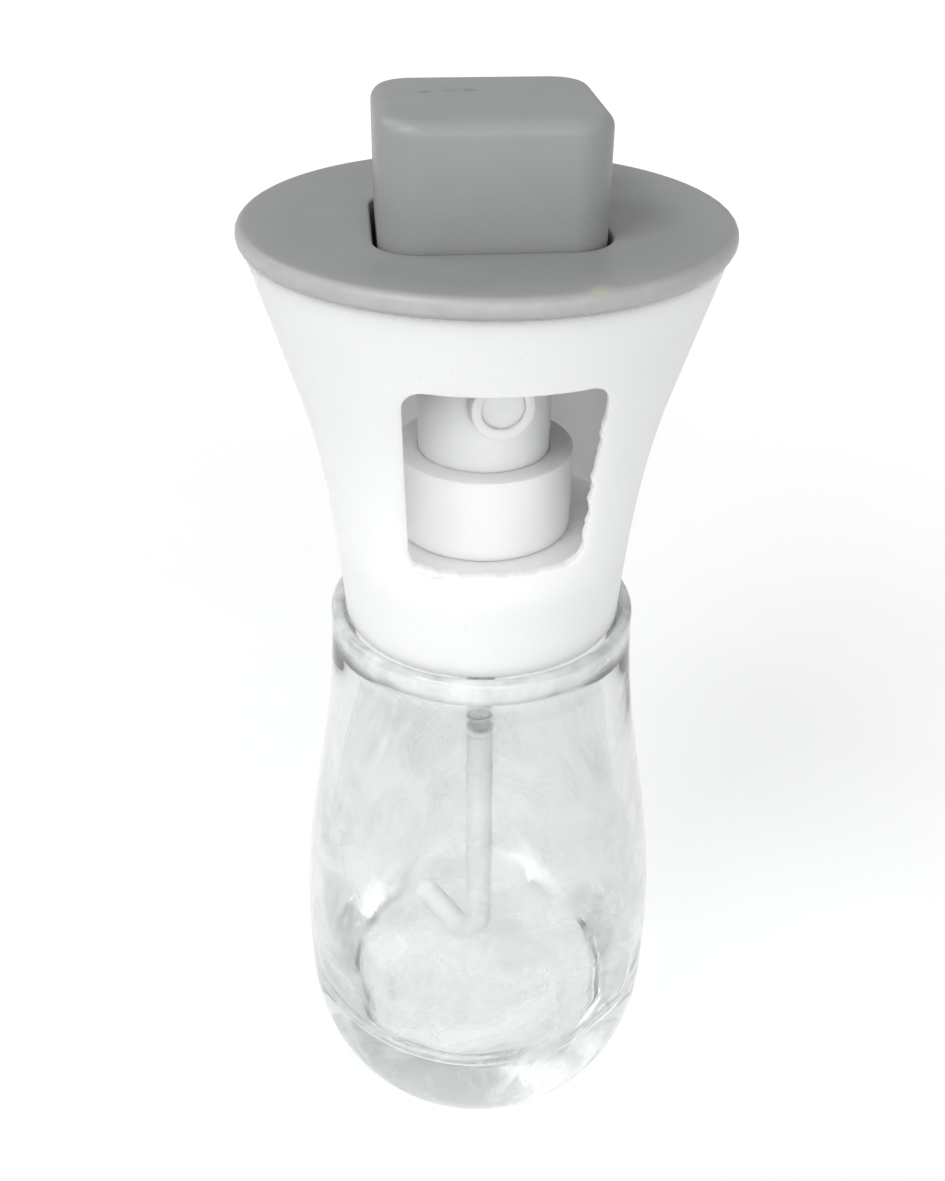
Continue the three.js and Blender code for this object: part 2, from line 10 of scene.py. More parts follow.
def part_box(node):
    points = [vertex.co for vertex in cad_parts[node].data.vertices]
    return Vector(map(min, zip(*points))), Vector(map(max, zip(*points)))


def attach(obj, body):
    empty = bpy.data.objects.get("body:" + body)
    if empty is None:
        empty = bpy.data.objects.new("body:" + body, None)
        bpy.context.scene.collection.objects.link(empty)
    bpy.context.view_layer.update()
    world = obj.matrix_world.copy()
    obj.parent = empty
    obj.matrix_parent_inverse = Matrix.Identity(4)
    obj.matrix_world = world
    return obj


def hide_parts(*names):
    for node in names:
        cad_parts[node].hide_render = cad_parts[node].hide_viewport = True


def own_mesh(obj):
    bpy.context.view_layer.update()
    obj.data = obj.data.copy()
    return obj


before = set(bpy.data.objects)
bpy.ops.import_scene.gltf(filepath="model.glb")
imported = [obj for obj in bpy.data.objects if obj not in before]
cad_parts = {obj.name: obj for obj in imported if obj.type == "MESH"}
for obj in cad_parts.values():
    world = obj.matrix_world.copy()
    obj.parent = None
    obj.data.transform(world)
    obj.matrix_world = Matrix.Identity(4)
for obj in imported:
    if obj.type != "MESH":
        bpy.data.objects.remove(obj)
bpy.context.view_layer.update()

# Sizes in millimetres. Levels and outer sizes are read from the CAD nodes' boxes. The others are
# the CAD's own, apart from the roundings of edges and the finishing touches below, which are in the
# scene alone.
MM = 0.001
ROUND = 240                     # facets round a large turned piece
SMALL_ROUND = 64                # and round a small one
ON_AXIS = 1e-6                  # a smaller radius lies on the axis


def box_mm(node):
    """Lowest and highest corner of a CAD node."""
    low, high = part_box(node)
    return low / MM, high / MM


BOTTLE_HEIGHT = box_mm("glass_bottle")[1].z
BELLY_RADIUS = box_mm("glass_bottle")[1].x
HOUSING_LEVEL = box_mm("housing")[0].z
HOUSING_HEIGHT = box_mm("housing")[1].z - HOUSING_LEVEL
RIM_LEVEL = box_mm("top_cover")[1].z
COVER_RADIUS = box_mm("top_cover")[1].x
GUIDE_LEVEL = box_mm("top_cover")[0].z
COVER_LEVEL = box_mm("housing")[1].z
BUTTON_LOW, BUTTON_HIGH = box_mm("push_button")
FLOOR_LEVEL = box_mm("pump_collar")[0].z
COLLAR_TOP = box_mm("pump_collar")[1].z
BARREL_TOP = box_mm("pump_body")[1].z
SOCKET_END = box_mm("pump_body")[0].z

# Clearances
FIT_GAP = 0.3                   # between a piece and the piece that it plugs into or slides in
MOUTH_GAP = 0.75                # between the housing's edge and the inside of the glass mouth

# Glass
LIP_RADIUS = 25.6
HEEL_HEIGHT = 24
HEEL_REACH = 13.5               # how far the heel draws in
SHOULDER_START = 34
PUSH_UP_RADIUS = 17.6           # hollow under the base
PUSH_UP_HEIGHT = 1.2
BASE_THICKNESS = 20
BELLY_WALL = 2.6
INNER_HEEL = 7
THROAT_RADIUS = 21.9            # narrowest inside, at the ledge
LEDGE_DEPTH = 5.1               # ledge below the lip
MOUTH_WALL = 1.85
LIP_ROUND = 0.92

# Neck adapter
SPIGOT_DEPTH = 6.4
SPIGOT_WALL = 1.6
ADAPTER_WEB = 2
SHOULDER_RADIUS = 14            # ring that carries the housing's floor
NECK_RADIUS = 11.4
NECK_BORE = 8.5
THREAD_GAP = 0.6                # between neck and collar, where the thread runs

# Housing and window
HOUSING_FOOT = LIP_RADIUS - MOUTH_WALL - MOUTH_GAP
HOUSING_WALL = 2
HOUSING_FLOOR = 1.8
HOUSING_FLOOR_HEIGHT = FLOOR_LEVEL - HOUSING_LEVEL
FOOT_SLOPE = 0.065              # growth of the radius per mm of height at the lower edge
FLARE_SLOPE = 0.296             # and at the top
FLARE_HEIGHT = 42               # height at which the flare turns straight
WINDOW_SILL = 3.3               # above the floor
WINDOW_HEIGHT = 31.9
WINDOW_TOP_HALF = 14.0
WINDOW_BOTTOM_HALF = 13.2
WINDOW_CORNER = 3

# Cover and button
COVER_DISH = 1.0                # how far the middle lies below the rim
COVER_DISH_RADIUS = 22
COVER_EDGE = 1.5
COVER_RING_WALL = 1.4
COVER_RING_DEPTH = 4
GUIDE_WALL = 1.3
BUTTON_GAP = 0.7                # between the button and the hole in the cover
BUTTON_CORNER = 6
BUTTON_FILLET = 2.1
BUTTON_FLANGE = 1.8             # lip that keeps the button in the cover
BUTTON_HALF = (BUTTON_HIGH.x - BUTTON_FLANGE, BUTTON_HIGH.y - BUTTON_FLANGE)
BUTTON_FLANGE_THICKNESS = 2
BUTTON_WALL = 1.6
BUTTON_ROOF = 2.2
BUTTON_STROKE = 5
STOP_GAP = 0.4                  # left under the actuator's skirt when the button is fully down
POST_RADIUS = 6.2
POST_WALL = 1.6

# Pump, dip tube and spring
COLLAR_RADIUS = 14.2
COLLAR_SHELF_BORE = 7.5
COLLAR_SHELF = 1.2
ACTUATOR_RADIUS = 10.45
ACTUATOR_HEIGHT = 17.6
ACTUATOR_WALL = 1.3
ACTUATOR_ROOF = 3.4
ACTUATOR_TURN = math.radians(7.8)
SOCKET_WALL = 1.5
SOCKET_DEPTH = 5                # of the stem's socket, and of the pin in the button's post
NOZZLE_LEVEL = COLLAR_TOP + 11.1
NOZZLE_REACH = 12.3             # front of the boss from the axis
NOZZLE_BOSS_RADIUS = 4.9
NOZZLE_INSERT_RADIUS = 3.35
NOZZLE_RECESS = 0.7
PUMP_FLANGE_RADIUS = 9.5
PUMP_FLANGE = 1
BARREL_RADIUS = 4.9
BARREL_WALL = 1.0
BARREL_ROUND = 1.4
BARREL_FLOOR = 1.5
TUBE_SOCKET_LENGTH = 7.5
TUBE_SOCKET_WALL = 0.7
INLET_RADIUS = 1.0
STEM_RADIUS = 2
TUBE_RADIUS = 2.4
TUBE_WALL = 0.7
TUBE_BEND = 9
TUBE_LOWEST = 4                 # its middle line above the inner floor
TUBE_DIRECTION = math.radians(119.7)
TUBE_THROAT_GAP = 0.5           # left between its end and the throat when it is lifted out
SPRING_RADIUS = 2.3
SPRING_WIRE = 0.35

# Finishing touches, in the scene alone
SPRING_TURNS = 13               # more than the CAD's plain coil has
SPRING_CLOSED_TURNS = 1.2       # that lie together at each end
SPRING_COIL_GAP = 0.05
COLLAR_BORE = 10.5              # closer round the actuator than in the CAD
CRISP_EDGE = 0.1                # rounding of the collar and the nozzle disc
ACTUATOR_SHARP = 38             # degrees from which its edges stay sharp
POCKET_GAP = 0.05               # round the nozzle disc
POCKET_DEPTH = 1.9              # behind the disc's front
SKIRT_OVERLAP = 0.35            # hides the skirt's rounded edge in the collar
BUTTON_CROWN = 0.35             # rise of the button's top towards its middle
HOLE_EDGE = 0.45                # rounding of the button's hole
WINDOW_EDGE = 0.35              # rounding of the window's rim
RAGGED_RIGHT = 0.55             # unevenness of the window's edge on its right side
RAGGED_SILL = 0.4               # along its sill
RAGGED_REST = 0.03              # and elsewhere
SEAM_ANGLE = math.radians(9)    # mould seam down the glass's front, a little to the right
SEAM_REACH = math.pi / ROUND
SEAM_DEPTH = 0.07
SEAM_FOOT = 12
SEAM_TOP = 72
WAVE_START = 6                  # height over which a wave of the glass, or its seam, fades in
WAVE_END = 14                   # and out
# Waves of the blown glass: the width of each, its depth and its place in the noise
OUTER_WAVE = (26, 0.075, 5.5)
SLOW_WAVE = (30, 0.45, 3.1)
QUICK_WAVE = (11, 0.55, 8.7)
OIL_FULL = 58                   # below this level the film of oil is full
OIL_END = 92                    # and above this one it is gone
DULL_RIM = 3                    # the glass is dull this far below the lip
DULL_RIM_END = 6                # and clear from here down
STIPPLE_FULL = 5                # the heel is stippled up to this level
STIPPLE_END = 9                 # and smooth above this one
RIM_SHEEN_FULL = 0.2                  # painted highlight on the cover's rim, at full strength this far in
RIM_SHEEN_END = 1.1              # and gone from here inwards
SWEEP_NEAR = 200                # the white sweep keeps the object's shadow inside this radius
SWEEP_FAR = 460                 # and is plain white outside this one
SWEEP_GLOW = 0.46


# Colours and materials


def linear(code):
    """sRGB hex to linear RGBA."""
    channels = [int(code[i:i + 2], 16) / 255 for i in (1, 3, 5)]
    return [c / 12.92 if c <= 0.04045 else ((c + 0.055) / 1.055) ** 2.4 for c in channels] + [1.0]


def add(tree, kind, settings=None, **sockets):
    """Adds a node with its settings, then sets or links its sockets. A socket goes by its name
    with _ for a space, or by its place as at_N. A value is a number, a hex colour, a node or
    another socket."""
    node = tree.nodes.new(kind)
    for name, value in (settings or {}).items():
        setattr(node, name, value)
    for name, value in sockets.items():
        if name.startswith("at_"):
            socket = node.inputs[int(name[3:])]
        else:
            socket = next(s for s in node.inputs if s.enabled and s.name.replace(" ", "_") == name)
        if isinstance(value, bpy.types.Node):
            value = next(s for s in value.outputs if s.enabled)
        if isinstance(value, bpy.types.NodeSocket):
            tree.links.new(value, socket)
        else:
            socket.default_value = linear(value) if isinstance(value, str) else value
    return node


def new_material(name):
    """An empty material and its node tree."""
    material = bpy.data.materials.new(name)
    material.use_nodes = True
    material.node_tree.nodes.clear()
    return material, material.node_tree


def mottle(tree, size_mm, low, high, detail=3, stretch=(1, 1, 1), band=(0.3, 0.7), twist=0):
    """A smooth random pattern with patches about size_mm wide that runs from low to high."""
    place = add(tree, "ShaderNodeTexCoord")
    spread = add(tree, "ShaderNodeMapping", Vector=place.outputs["Object"], Scale=stretch)
    cloud = add(
        tree, "ShaderNodeTexNoise", Vector=spread, Scale=1 / (size_mm * MM), Detail=detail,
        Distortion=twist,
    )
    return add(
        tree, "ShaderNodeMapRange", Value=cloud, From_Min=band[0], From_Max=band[1], To_Min=low,
        To_Max=high,
    )


def spot(tree, centre_mm, radius_mm, soft_mm, strength=1):
    """A round mark: its strength inside, and 0 outside a soft edge."""
    place = add(tree, "ShaderNodeTexCoord")
    away = add(
        tree, "ShaderNodeVectorMath", {"operation": "DISTANCE"}, at_0=place.outputs["Object"],
        at_1=[c * MM for c in centre_mm],
    )
    return add(
        tree, "ShaderNodeMapRange", Value=away.outputs["Value"], From_Min=(radius_mm + soft_mm) * MM,
        From_Max=radius_mm * MM, To_Min=0, To_Max=strength,
    )


def lower_part(tree, full_mm, none_mm):
    """A level in Z: 1 below the first height and 0 above the second."""
    place = add(tree, "ShaderNodeTexCoord")
    parts = add(tree, "ShaderNodeSeparateXYZ", Vector=place.outputs["Object"])
    return add(
        tree, "ShaderNodeMapRange", Value=parts.outputs["Z"], From_Min=full_mm * MM,
        From_Max=none_mm * MM, To_Min=1, To_Max=0,
    )


def outer_edge(tree, ring_from_mm, ring_full_mm, strength):
    """A ring round the Z axis: 0 up to the first radius, rising to its strength at the second."""
    place = add(tree, "ShaderNodeTexCoord")
    flat = add(
        tree, "ShaderNodeVectorMath", {"operation": "MULTIPLY"}, at_0=place.outputs["Object"],
        at_1=(1, 1, 0),
    )
    reach = add(tree, "ShaderNodeVectorMath", {"operation": "LENGTH"}, at_0=flat)
    return add(
        tree, "ShaderNodeMapRange", Value=reach.outputs["Value"], From_Min=ring_from_mm * MM,
        From_Max=ring_full_mm * MM, To_Min=0, To_Max=strength,
    )


def lamps_pass(tree, shader, tint):
    """Lets lamps shine through a clear or thin piece onto what is inside and behind it."""
    path = add(tree, "ShaderNodeLightPath")
    open_way = add(tree, "ShaderNodeBsdfTransparent", Color=tint)
    return add(
        tree, "ShaderNodeMixShader", at_0=path.outputs["Is Shadow Ray"], at_1=shader, at_2=open_way,
    )


def soda_lime_glass():
    """Soda-lime glass, pressed and blown: clear, a little grey in its edges, with soft waves, a
    smeared film of oil that clouds its lower part, a dull rim and a heel whose fine stipple is
    drawn coarser than real."""
    material, tree = new_material("soda_lime_glass_blown")
    low = lower_part(tree, OIL_FULL, OIL_END)
    smears = mottle(tree, 22, 0, 1, detail=8, band=(0.46, 0.62), twist=1.4)
    cloud = add(tree, "ShaderNodeMath", {"operation": "MULTIPLY"}, at_0=smears, at_1=low)
    haze = add(tree, "ShaderNodeMapRange", Value=cloud, To_Min=0.015, To_Max=0.16)
    film = add(tree, "ShaderNodeMapRange", Value=cloud, To_Min=0.99, To_Max=0.62)
    below_rim = add(
        tree, "ShaderNodeMapRange", To_Min=mottle(tree, 8, 0.25, 0.75), To_Max=1,
        Value=lower_part(tree, BOTTLE_HEIGHT - DULL_RIM_END, BOTTLE_HEIGHT - DULL_RIM),
    )
    clear = add(tree, "ShaderNodeMath", {"operation": "MULTIPLY"}, at_0=film, at_1=below_rim)
    pits = mottle(tree, 0.5, 0, 0.1, detail=1, stretch=(1, 1, 0.35), band=(0, 1))
    stipple = add(
        tree, "ShaderNodeMath", {"operation": "MULTIPLY"}, at_0=pits,
        at_1=lower_part(tree, STIPPLE_FULL, STIPPLE_END),
    )
    ripple = mottle(tree, 8, 0, 1, detail=2.5, band=(0, 1))
    relief = add(tree, "ShaderNodeMath", {"operation": "ADD"}, at_0=stipple, at_1=ripple)
    waves = add(tree, "ShaderNodeBump", Strength=0.04, Distance=0.0006, Height=relief)
    glass = add(
        tree, "ShaderNodeBsdfPrincipled", Base_Color="#F1F2F2", Roughness=haze, IOR=1.52,
        Transmission_Weight=clear, Normal=waves,
    )
    tint = add(tree, "ShaderNodeVolumeAbsorption", Color="#E2E6E5", Density=8)
    add(
        tree, "ShaderNodeOutputMaterial", Surface=lamps_pass(tree, glass, "#F5F6F6"), Volume=tint,
    )
    return material


def moulded_polypropylene(name, depth_mm, let_through=None):
    """White polypropylene from a fine-spark mould: satin, and light glows through thin walls. The
    mould's texture is drawn coarser than real."""
    material, tree = new_material(name)
    tone = add(
        tree, "ShaderNodeMix", {"data_type": "RGBA"}, Factor=mottle(tree, 16, 0, 1), A="#F9FAFA",
        B="#FCFDFC",
    )
    speck = mottle(tree, 0.9, 0, 0.16, detail=1, band=(0.74, 0.80))
    dusty = add(tree, "ShaderNodeMix", {"data_type": "RGBA"}, Factor=speck, A=tone, B="#B9B7B0")
    pitted = add(
        tree, "ShaderNodeBump", Strength=0.12, Distance=0.0001, Height=mottle(tree, 0.45, 0, 1),
    )
    plastic = add(
        tree, "ShaderNodeBsdfPrincipled", Base_Color=dusty, Roughness=mottle(tree, 5, 0.38, 0.5),
        IOR=1.49, Subsurface_Weight=1, Subsurface_Radius=(1, 1, 0.97),
        Subsurface_Scale=depth_mm * MM, Normal=pitted,
    )
    if let_through:
        plastic = lamps_pass(tree, plastic, let_through)
    add(tree, "ShaderNodeOutputMaterial", Surface=plastic)
    return material


def textured_abs(name, marks, rim_sheen=0):
    """Grey ABS with a matte mould texture, drawn coarser than real: soft broad highlights on a
    neutral grey. Along the rim, a painted highlight turns the grey pale."""
    material, tree = new_material(name)
    tone = add(
        tree, "ShaderNodeMix", {"data_type": "RGBA"}, Factor=mottle(tree, 10, 0, 1), A="#8E8F8F",
        B="#919292",
    )
    if rim_sheen:
        # Painted highlight: a pale, mottled band round the rim's edge.
        rim_sheen_share = add(
            tree, "ShaderNodeMath", {"operation": "MULTIPLY"}, at_0=mottle(tree, 3, 0.7, 1),
            at_1=outer_edge(tree, COVER_RADIUS - RIM_SHEEN_END, COVER_RADIUS - RIM_SHEEN_FULL, rim_sheen),
        )
        tone = add(tree, "ShaderNodeMix", {"data_type": "RGBA"}, Factor=rim_sheen_share, A=tone, B="#CFCFCD")
    for centre, radius, soft, colour, strength in marks:
        tone = add(
            tree, "ShaderNodeMix", {"data_type": "RGBA"}, A=tone, B=colour,
            Factor=spot(tree, centre, radius, soft, strength),
        )
    texture = add(
        tree, "ShaderNodeBump", Strength=0.16, Distance=0.00012, Height=mottle(tree, 0.35, 0, 1),
    )
    plastic = add(
        tree, "ShaderNodeBsdfPrincipled", Base_Color=tone, IOR=1.53,
        Roughness=mottle(tree, 4, 0.45, 0.52, detail=4), Coat_Weight=0.25, Coat_Roughness=0.4,
        Normal=texture,
    )
    add(tree, "ShaderNodeOutputMaterial", Surface=plastic)
    return material


def natural_polyethylene():
    """Natural polyethylene, extruded or moulded: milky and waxy, with faint drawn lines."""
    material, tree = new_material("natural_polyethylene")
    drawn = mottle(tree, 1.2, 0, 1, stretch=(1, 1, 0.12))
    tone = add(
        tree, "ShaderNodeMix", {"data_type": "RGBA"}, Factor=drawn, A="#F8FAF9", B="#FDFEFE",
    )
    wax = add(
        tree, "ShaderNodeBsdfPrincipled", Base_Color=tone, IOR=1.5,
        Roughness=mottle(tree, 1.2, 0.28, 0.42), Subsurface_Weight=1,
        Subsurface_Radius=(1, 1, 0.97), Subsurface_Scale=0.002,
    )
    add(tree, "ShaderNodeOutputMaterial", Surface=wax)
    return material


def hazy_plastic(name, first, second, rough, body):
    """Unfilled plastic or silicone, moulded thin: what is behind it shows through a milky haze."""
    material, tree = new_material(name)
    tone = add(
        tree, "ShaderNodeMix", {"data_type": "RGBA"}, Factor=mottle(tree, 3, 0, 1), A=first, B=second,
    )
    flow = add(
        tree, "ShaderNodeBump", Strength=0.05, Distance=0.0004,
        Height=mottle(tree, 4, 0, 1, stretch=(1, 1, 0.4)),
    )
    plastic = add(
        tree, "ShaderNodeBsdfPrincipled", Base_Color=tone, IOR=1.5, Alpha=body,
        Roughness=mottle(tree, 6, rough, rough + 0.1), Normal=flow,
    )
    add(tree, "ShaderNodeOutputMaterial", Surface=plastic)
    return material


def drawn_steel():
    """Stainless spring wire: bright, with drawing lines, coarser than real, that blur its
    reflections."""
    material, tree = new_material("stainless_wire_drawn")
    lines = mottle(tree, 0.25, 0, 1, stretch=(1, 1, 3))
    tone = add(
        tree, "ShaderNodeMix", {"data_type": "RGBA"}, Factor=lines, A="#8E8F90", B="#BCBDBE",
    )
    steel = add(
        tree, "ShaderNodeBsdfPrincipled", Base_Color=tone, Metallic=1,
        Roughness=mottle(tree, 0.25, 0.2, 0.36, stretch=(1, 1, 3)),
    )
    add(tree, "ShaderNodeOutputMaterial", Surface=steel)
    return material


# Scuffs on the real one: three dull dots on the button and a yellowish rub on the rim. Each has
# its centre, radius and soft edge, its colour and its strength.
BUTTON_TOP = BUTTON_HIGH.z
BUTTON_DOTS = [
    ((-8.6, 2.2, BUTTON_TOP), 0.4, 0.7, "#5F6060", 0.6),
    ((-5.1, 2.3, BUTTON_TOP), 0.4, 0.9, "#696A6A", 0.4),
    ((-2.4, 2.5, BUTTON_TOP), 0.5, 0.8, "#5F6060", 0.6),
]
RIM_RUB = [
    ((11.0, -32.8, RIM_LEVEL - 0.2), 0.5, 1.4, "#B4AF95", 0.4),
    ((9.8, -33.4, RIM_LEVEL - 0.4), 0.3, 1.1, "#B9B49C", 0.35),
]

GLASS = soda_lime_glass()
THIN_WHITE = moulded_polypropylene("white_polypropylene_thin", 4.5, let_through="#E8E8E8")
WHITE = moulded_polypropylene("white_polypropylene_solid", 1.4)
# The cover's rim gets a painted highlight.
GREY_COVER = textured_abs("grey_abs_cover", RIM_RUB, rim_sheen=0.4)
GREY_BUTTON = textured_abs("grey_abs_button", BUTTON_DOTS)
MILKY = natural_polyethylene()
BARREL = hazy_plastic("clear_polypropylene_barrel", "#E4E7E6", "#F1F3F2", 0.12, 0.06)
CLEAR = hazy_plastic("clear_styrene_adapter", "#ECEEEE", "#F6F8F7", 0.06, 0.11)
RUBBER = hazy_plastic("clear_silicone_rubber", "#E4E6E5", "#EEF0EF", 0.5, 0.12)
STEEL = drawn_steel()


# Meshes


def piece(name, points, faces, material, body, slot, *nodes, sharp=35):
    """A closed mesh from millimetre points, riding on a body and standing for CAD nodes."""
    mesh = bpy.data.meshes.new(name)
    mesh.from_pydata([Vector(p) * MM for p in points], [], faces)
    mesh.validate()
    mesh.shade_smooth()
    mesh.set_sharp_from_angle(angle=math.radians(sharp))
    mesh.materials.append(material)
    thing = bpy.data.objects.new(name, mesh)
    bpy.context.scene.collection.objects.link(thing)
    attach(thing, body)
    if nodes:
        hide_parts(*nodes)
    return thing


def clamped(share):
    """A share kept between 0 and 1."""
    return min(max(share, 0), 1)


def arc(radius, height, reach, rise, start, stop, steps):
    """Points of an elliptic arc in the plane of radius and height, angles in degrees."""
    turns = [math.radians(start + (stop - start) * i / steps) for i in range(steps + 1)]
    return [(radius + reach * math.cos(t), height + rise * math.sin(t)) for t in turns]


def swell(radius_a, height_a, radius_b, height_b, steps):
    """Half a cosine wave that leads from one radius to another over a height."""
    shares = [i / steps for i in range(steps + 1)]
    return [
        (
            radius_a + (radius_b - radius_a) * (1 - math.cos(math.pi * s)) / 2,
            height_a + (height_b - height_a) * s,
        )
        for s in shares
    ]


def straight(first, last, steps):
    """Points between two profile points, without the first."""
    return [
        tuple(a + (b - a) * i / steps for a, b in zip(first, last)) for i in range(1, steps + 1)
    ]


def rounded(profile, radius, steps=3, closed=True):
    """Rounds a profile's corners as far as its sides allow, and leaves nearly straight ones."""
    straightest = math.radians(150)
    most_of_side = 0.45
    made = []
    count = len(profile)
    for i, corner in enumerate(profile):
        if not closed and i in (0, count - 1):
            made.append(corner)
            continue
        here = Vector(corner)
        before = Vector(profile[i - 1]) - here
        after = Vector(profile[(i + 1) % count]) - here
        turn = before.angle(after)
        if turn > straightest:
            made.append(corner)
            continue
        longest = most_of_side * min(before.length, after.length)
        cut = min(radius / math.tan(turn / 2), longest)
        start = here + before.normalized() * cut
        stop = here + after.normalized() * cut
        for k in range(steps + 1):
            s = k / steps
            made.append(tuple(start * (1 - s) ** 2 + here * 2 * s * (1 - s) + stop * s ** 2))
    return made


def turned(profile, segments, closed=True, form=None):
    """Points and faces of a revolved profile that runs anticlockwise; form moves each point."""
    points, rows = [], []
    for radius, height in profile:
        if radius < ON_AXIS:
            rows.append([len(points)] * segments)
            points.append(Vector((0, 0, height)))
            continue
        rows.append(list(range(len(points), len(points) + segments)))
        for i in range(segments):
            angle = 2 * math.pi * i / segments
            points.append(Vector((radius * math.sin(angle), -radius * math.cos(angle), height)))
    if form:
        points = [form(p) for p in points]
    faces = []
    pairs = list(zip(rows, rows[1:] + ([rows[0]] if closed else [])))
    for low, high in pairs:
        for i in range(segments):
            j = (i + 1) % segments
            corners = [low[i], low[j], high[j], high[i]]
            kept = [c for k, c in enumerate(corners) if c != corners[k - 1]]
            if len(kept) > 2:
                faces.append(kept)
    return points, faces


def lofted(loops, closed=True):
    """Points and faces between loops of equal count; closed joins the last loop to the first."""
    count = len(loops[0])
    points = [p for loop in loops for p in loop]
    faces = []
    rows = len(loops)
    for r in range(rows if closed else rows - 1):
        low, high = r * count, ((r + 1) % rows) * count
        for i in range(count):
            j = (i + 1) % count
            faces.append([low + i, low + j, high + j, high + i])
    return points, faces


def rounded_loop(half_x, half_y, corner, height, per_corner=12, per_side=10):
    """A rounded rectangle's points, anticlockwise from its front right corner."""
    x, y = half_x - corner, half_y - corner
    made = []
    for centre_x, centre_y, start in ((x, -y, -90), (x, y, 0), (-x, y, 90), (-x, -y, 180)):
        for k in range(per_corner + 1):
            angle = math.radians(start + 90 * k / per_corner)
            made.append(Vector((
                centre_x + corner * math.cos(angle), centre_y + corner * math.sin(angle), height,
            )))
    full = []
    for i, point in enumerate(made):
        full.append(point)
        if i % (per_corner + 1) == per_corner:
            following = made[(i + 1) % len(made)]
            full += [point.lerp(following, k / per_side) for k in range(1, per_side)]
    return full


def circle_loop(like, radius, height):
    """A circle with one point for each point of a loop, in the same directions."""
    return [
        Vector((p.x, p.y, 0)).normalized() * radius + Vector((0, 0, height)) for p in like
    ]


def tube_along(path, radius, inner, sides):
    """A pipe, or a rod if inner is 0, along a list of points."""
    loops = []
    normal = Vector((1, 0, 0))
    for i, point in enumerate(path):
        ahead = (path[min(i + 1, len(path) - 1)] - path[max(i - 1, 0)]).normalized()
        normal = (normal - ahead * normal.dot(ahead)).normalized()
        across = ahead.cross(normal)
        loops.append((point, normal.copy(), across))

    def shell(size):
        return [
            [
                point + size * (math.cos(a) * one + math.sin(a) * other)
                for a in (2 * math.pi * k / sides for k in range(sides))
            ]
            for point, one, other in loops
        ]

    outer = shell(radius)
    if inner:
        return lofted(outer + shell(inner)[::-1])
    points, faces = lofted(outer, closed=False)
    faces.append(list(range(sides))[::-1])
    faces.append([len(points) - sides + k for k in range(sides)])
    return points, faces


# Glass bottle


def blown_wave(point, low, high, width, depth, seed):
    """A smooth sideways offset of blown glass, fading in above one level and out below another."""
    place = point / width + Vector((seed, 0, 0))
    share = clamped((point.z - low) / WAVE_START) * clamped((high - point.z) / WAVE_END)
    return noise.noise(place) * depth * share


def glass_bottle():
    """Round heel, long shoulder and rounded lip outside; ledge, wavy wall and thick base inside."""
    foot = BELLY_RADIUS - HEEL_REACH
    inside = BELLY_RADIUS - BELLY_WALL
    mouth = LIP_RADIUS - MOUTH_WALL
    ledge = BOTTLE_HEIGHT - LEDGE_DEPTH
    outer = (
        [(radius, height) for height, radius in swell(PUSH_UP_HEIGHT, 0, 0, PUSH_UP_RADIUS, 14)]
        + [(foot, 0)]
        + arc(foot, HEEL_HEIGHT, HEEL_REACH, HEEL_HEIGHT, 273, 360, 30)
        + straight((BELLY_RADIUS, HEEL_HEIGHT), (BELLY_RADIUS, SHOULDER_START), 5)[:-1]
        + swell(BELLY_RADIUS, SHOULDER_START, LIP_RADIUS, HOUSING_LEVEL, 44)[:-1]
        + arc(LIP_RADIUS - LIP_ROUND, BOTTLE_HEIGHT - LIP_ROUND, LIP_ROUND, LIP_ROUND, 0, 180, 12)
    )
    fillet, edge = 0.5, 0.8     # soft corners of the ledge
    inner = (
        straight((mouth, BOTTLE_HEIGHT - LIP_ROUND), (mouth, ledge + fillet), 4)
        + [(mouth - 0.12, ledge + 0.15), (mouth - 0.4, ledge)]
        + [(THROAT_RADIUS + 0.6, ledge), (THROAT_RADIUS + 0.15, ledge - 0.2)]
        + swell(THROAT_RADIUS, ledge - edge, inside, SHOULDER_START, 40)
        + straight((inside, SHOULDER_START), (inside, BASE_THICKNESS + INNER_HEEL), 8)[:-1]
        + arc(
            inside - INNER_HEEL, BASE_THICKNESS + INNER_HEEL, INNER_HEEL, INNER_HEEL, 360, 270, 16,
        )
        + straight((inside - INNER_HEEL, BASE_THICKNESS), (0, BASE_THICKNESS), 12)
    )

    smooth_top = 4              # no waves this near the mouth
    smooth_foot = 6             # nor on the outside below this level
    thin_wall = 1.2             # an inner point lies further in than this
    quick_top = 38              # the quick waves stay low in the bottle
    inset, deepest = 0.3, 0.5   # the waves' middle and most, inwards and outwards
    calm = 12                   # they fade towards the axis from this radius
    floor_wave, floor_rise, floor_top, floor_fade = 14, 0.3, 30, 10

    def inner_form(point, radius, out):
        slow = blown_wave(point, 0, ledge - smooth_top, *SLOW_WAVE)
        quick = blown_wave(point, 0, quick_top, *QUICK_WAVE)
        push = min(slow + quick - inset, deepest) * min(radius / calm, 1)
        share = clamped((floor_top - point.z) / floor_fade)
        rise = noise.noise(point / floor_wave) * floor_rise * share
        return point + out * push + Vector((0, 0, rise))

    def form(point):
        radius = math.hypot(point.x, point.y)
        if radius < ON_AXIS:
            return point
        out = Vector((point.x, point.y, 0)) / radius
        above_floor = point.z > BASE_THICKNESS - 0.01
        if above_floor and radius < outer_radius(point.z) - thin_wall:
            return inner_form(point, radius, out)
        wave = abs(blown_wave(point, smooth_foot, HOUSING_LEVEL - smooth_top, *OUTER_WAVE))
        off_seam = abs(math.atan2(point.x, -point.y) - SEAM_ANGLE)
        if off_seam < SEAM_REACH:
            share = clamped((point.z - SEAM_FOOT) / WAVE_START)
            wave += SEAM_DEPTH * share * clamped((SEAM_TOP - point.z) / WAVE_START)
        return point - out * wave

    points, faces = turned(outer + inner, ROUND, closed=False, form=form)
    return piece(
        "glass_bottle_blown", points, faces, GLASS, "bottle", "clear_glass", "glass_bottle",
    )


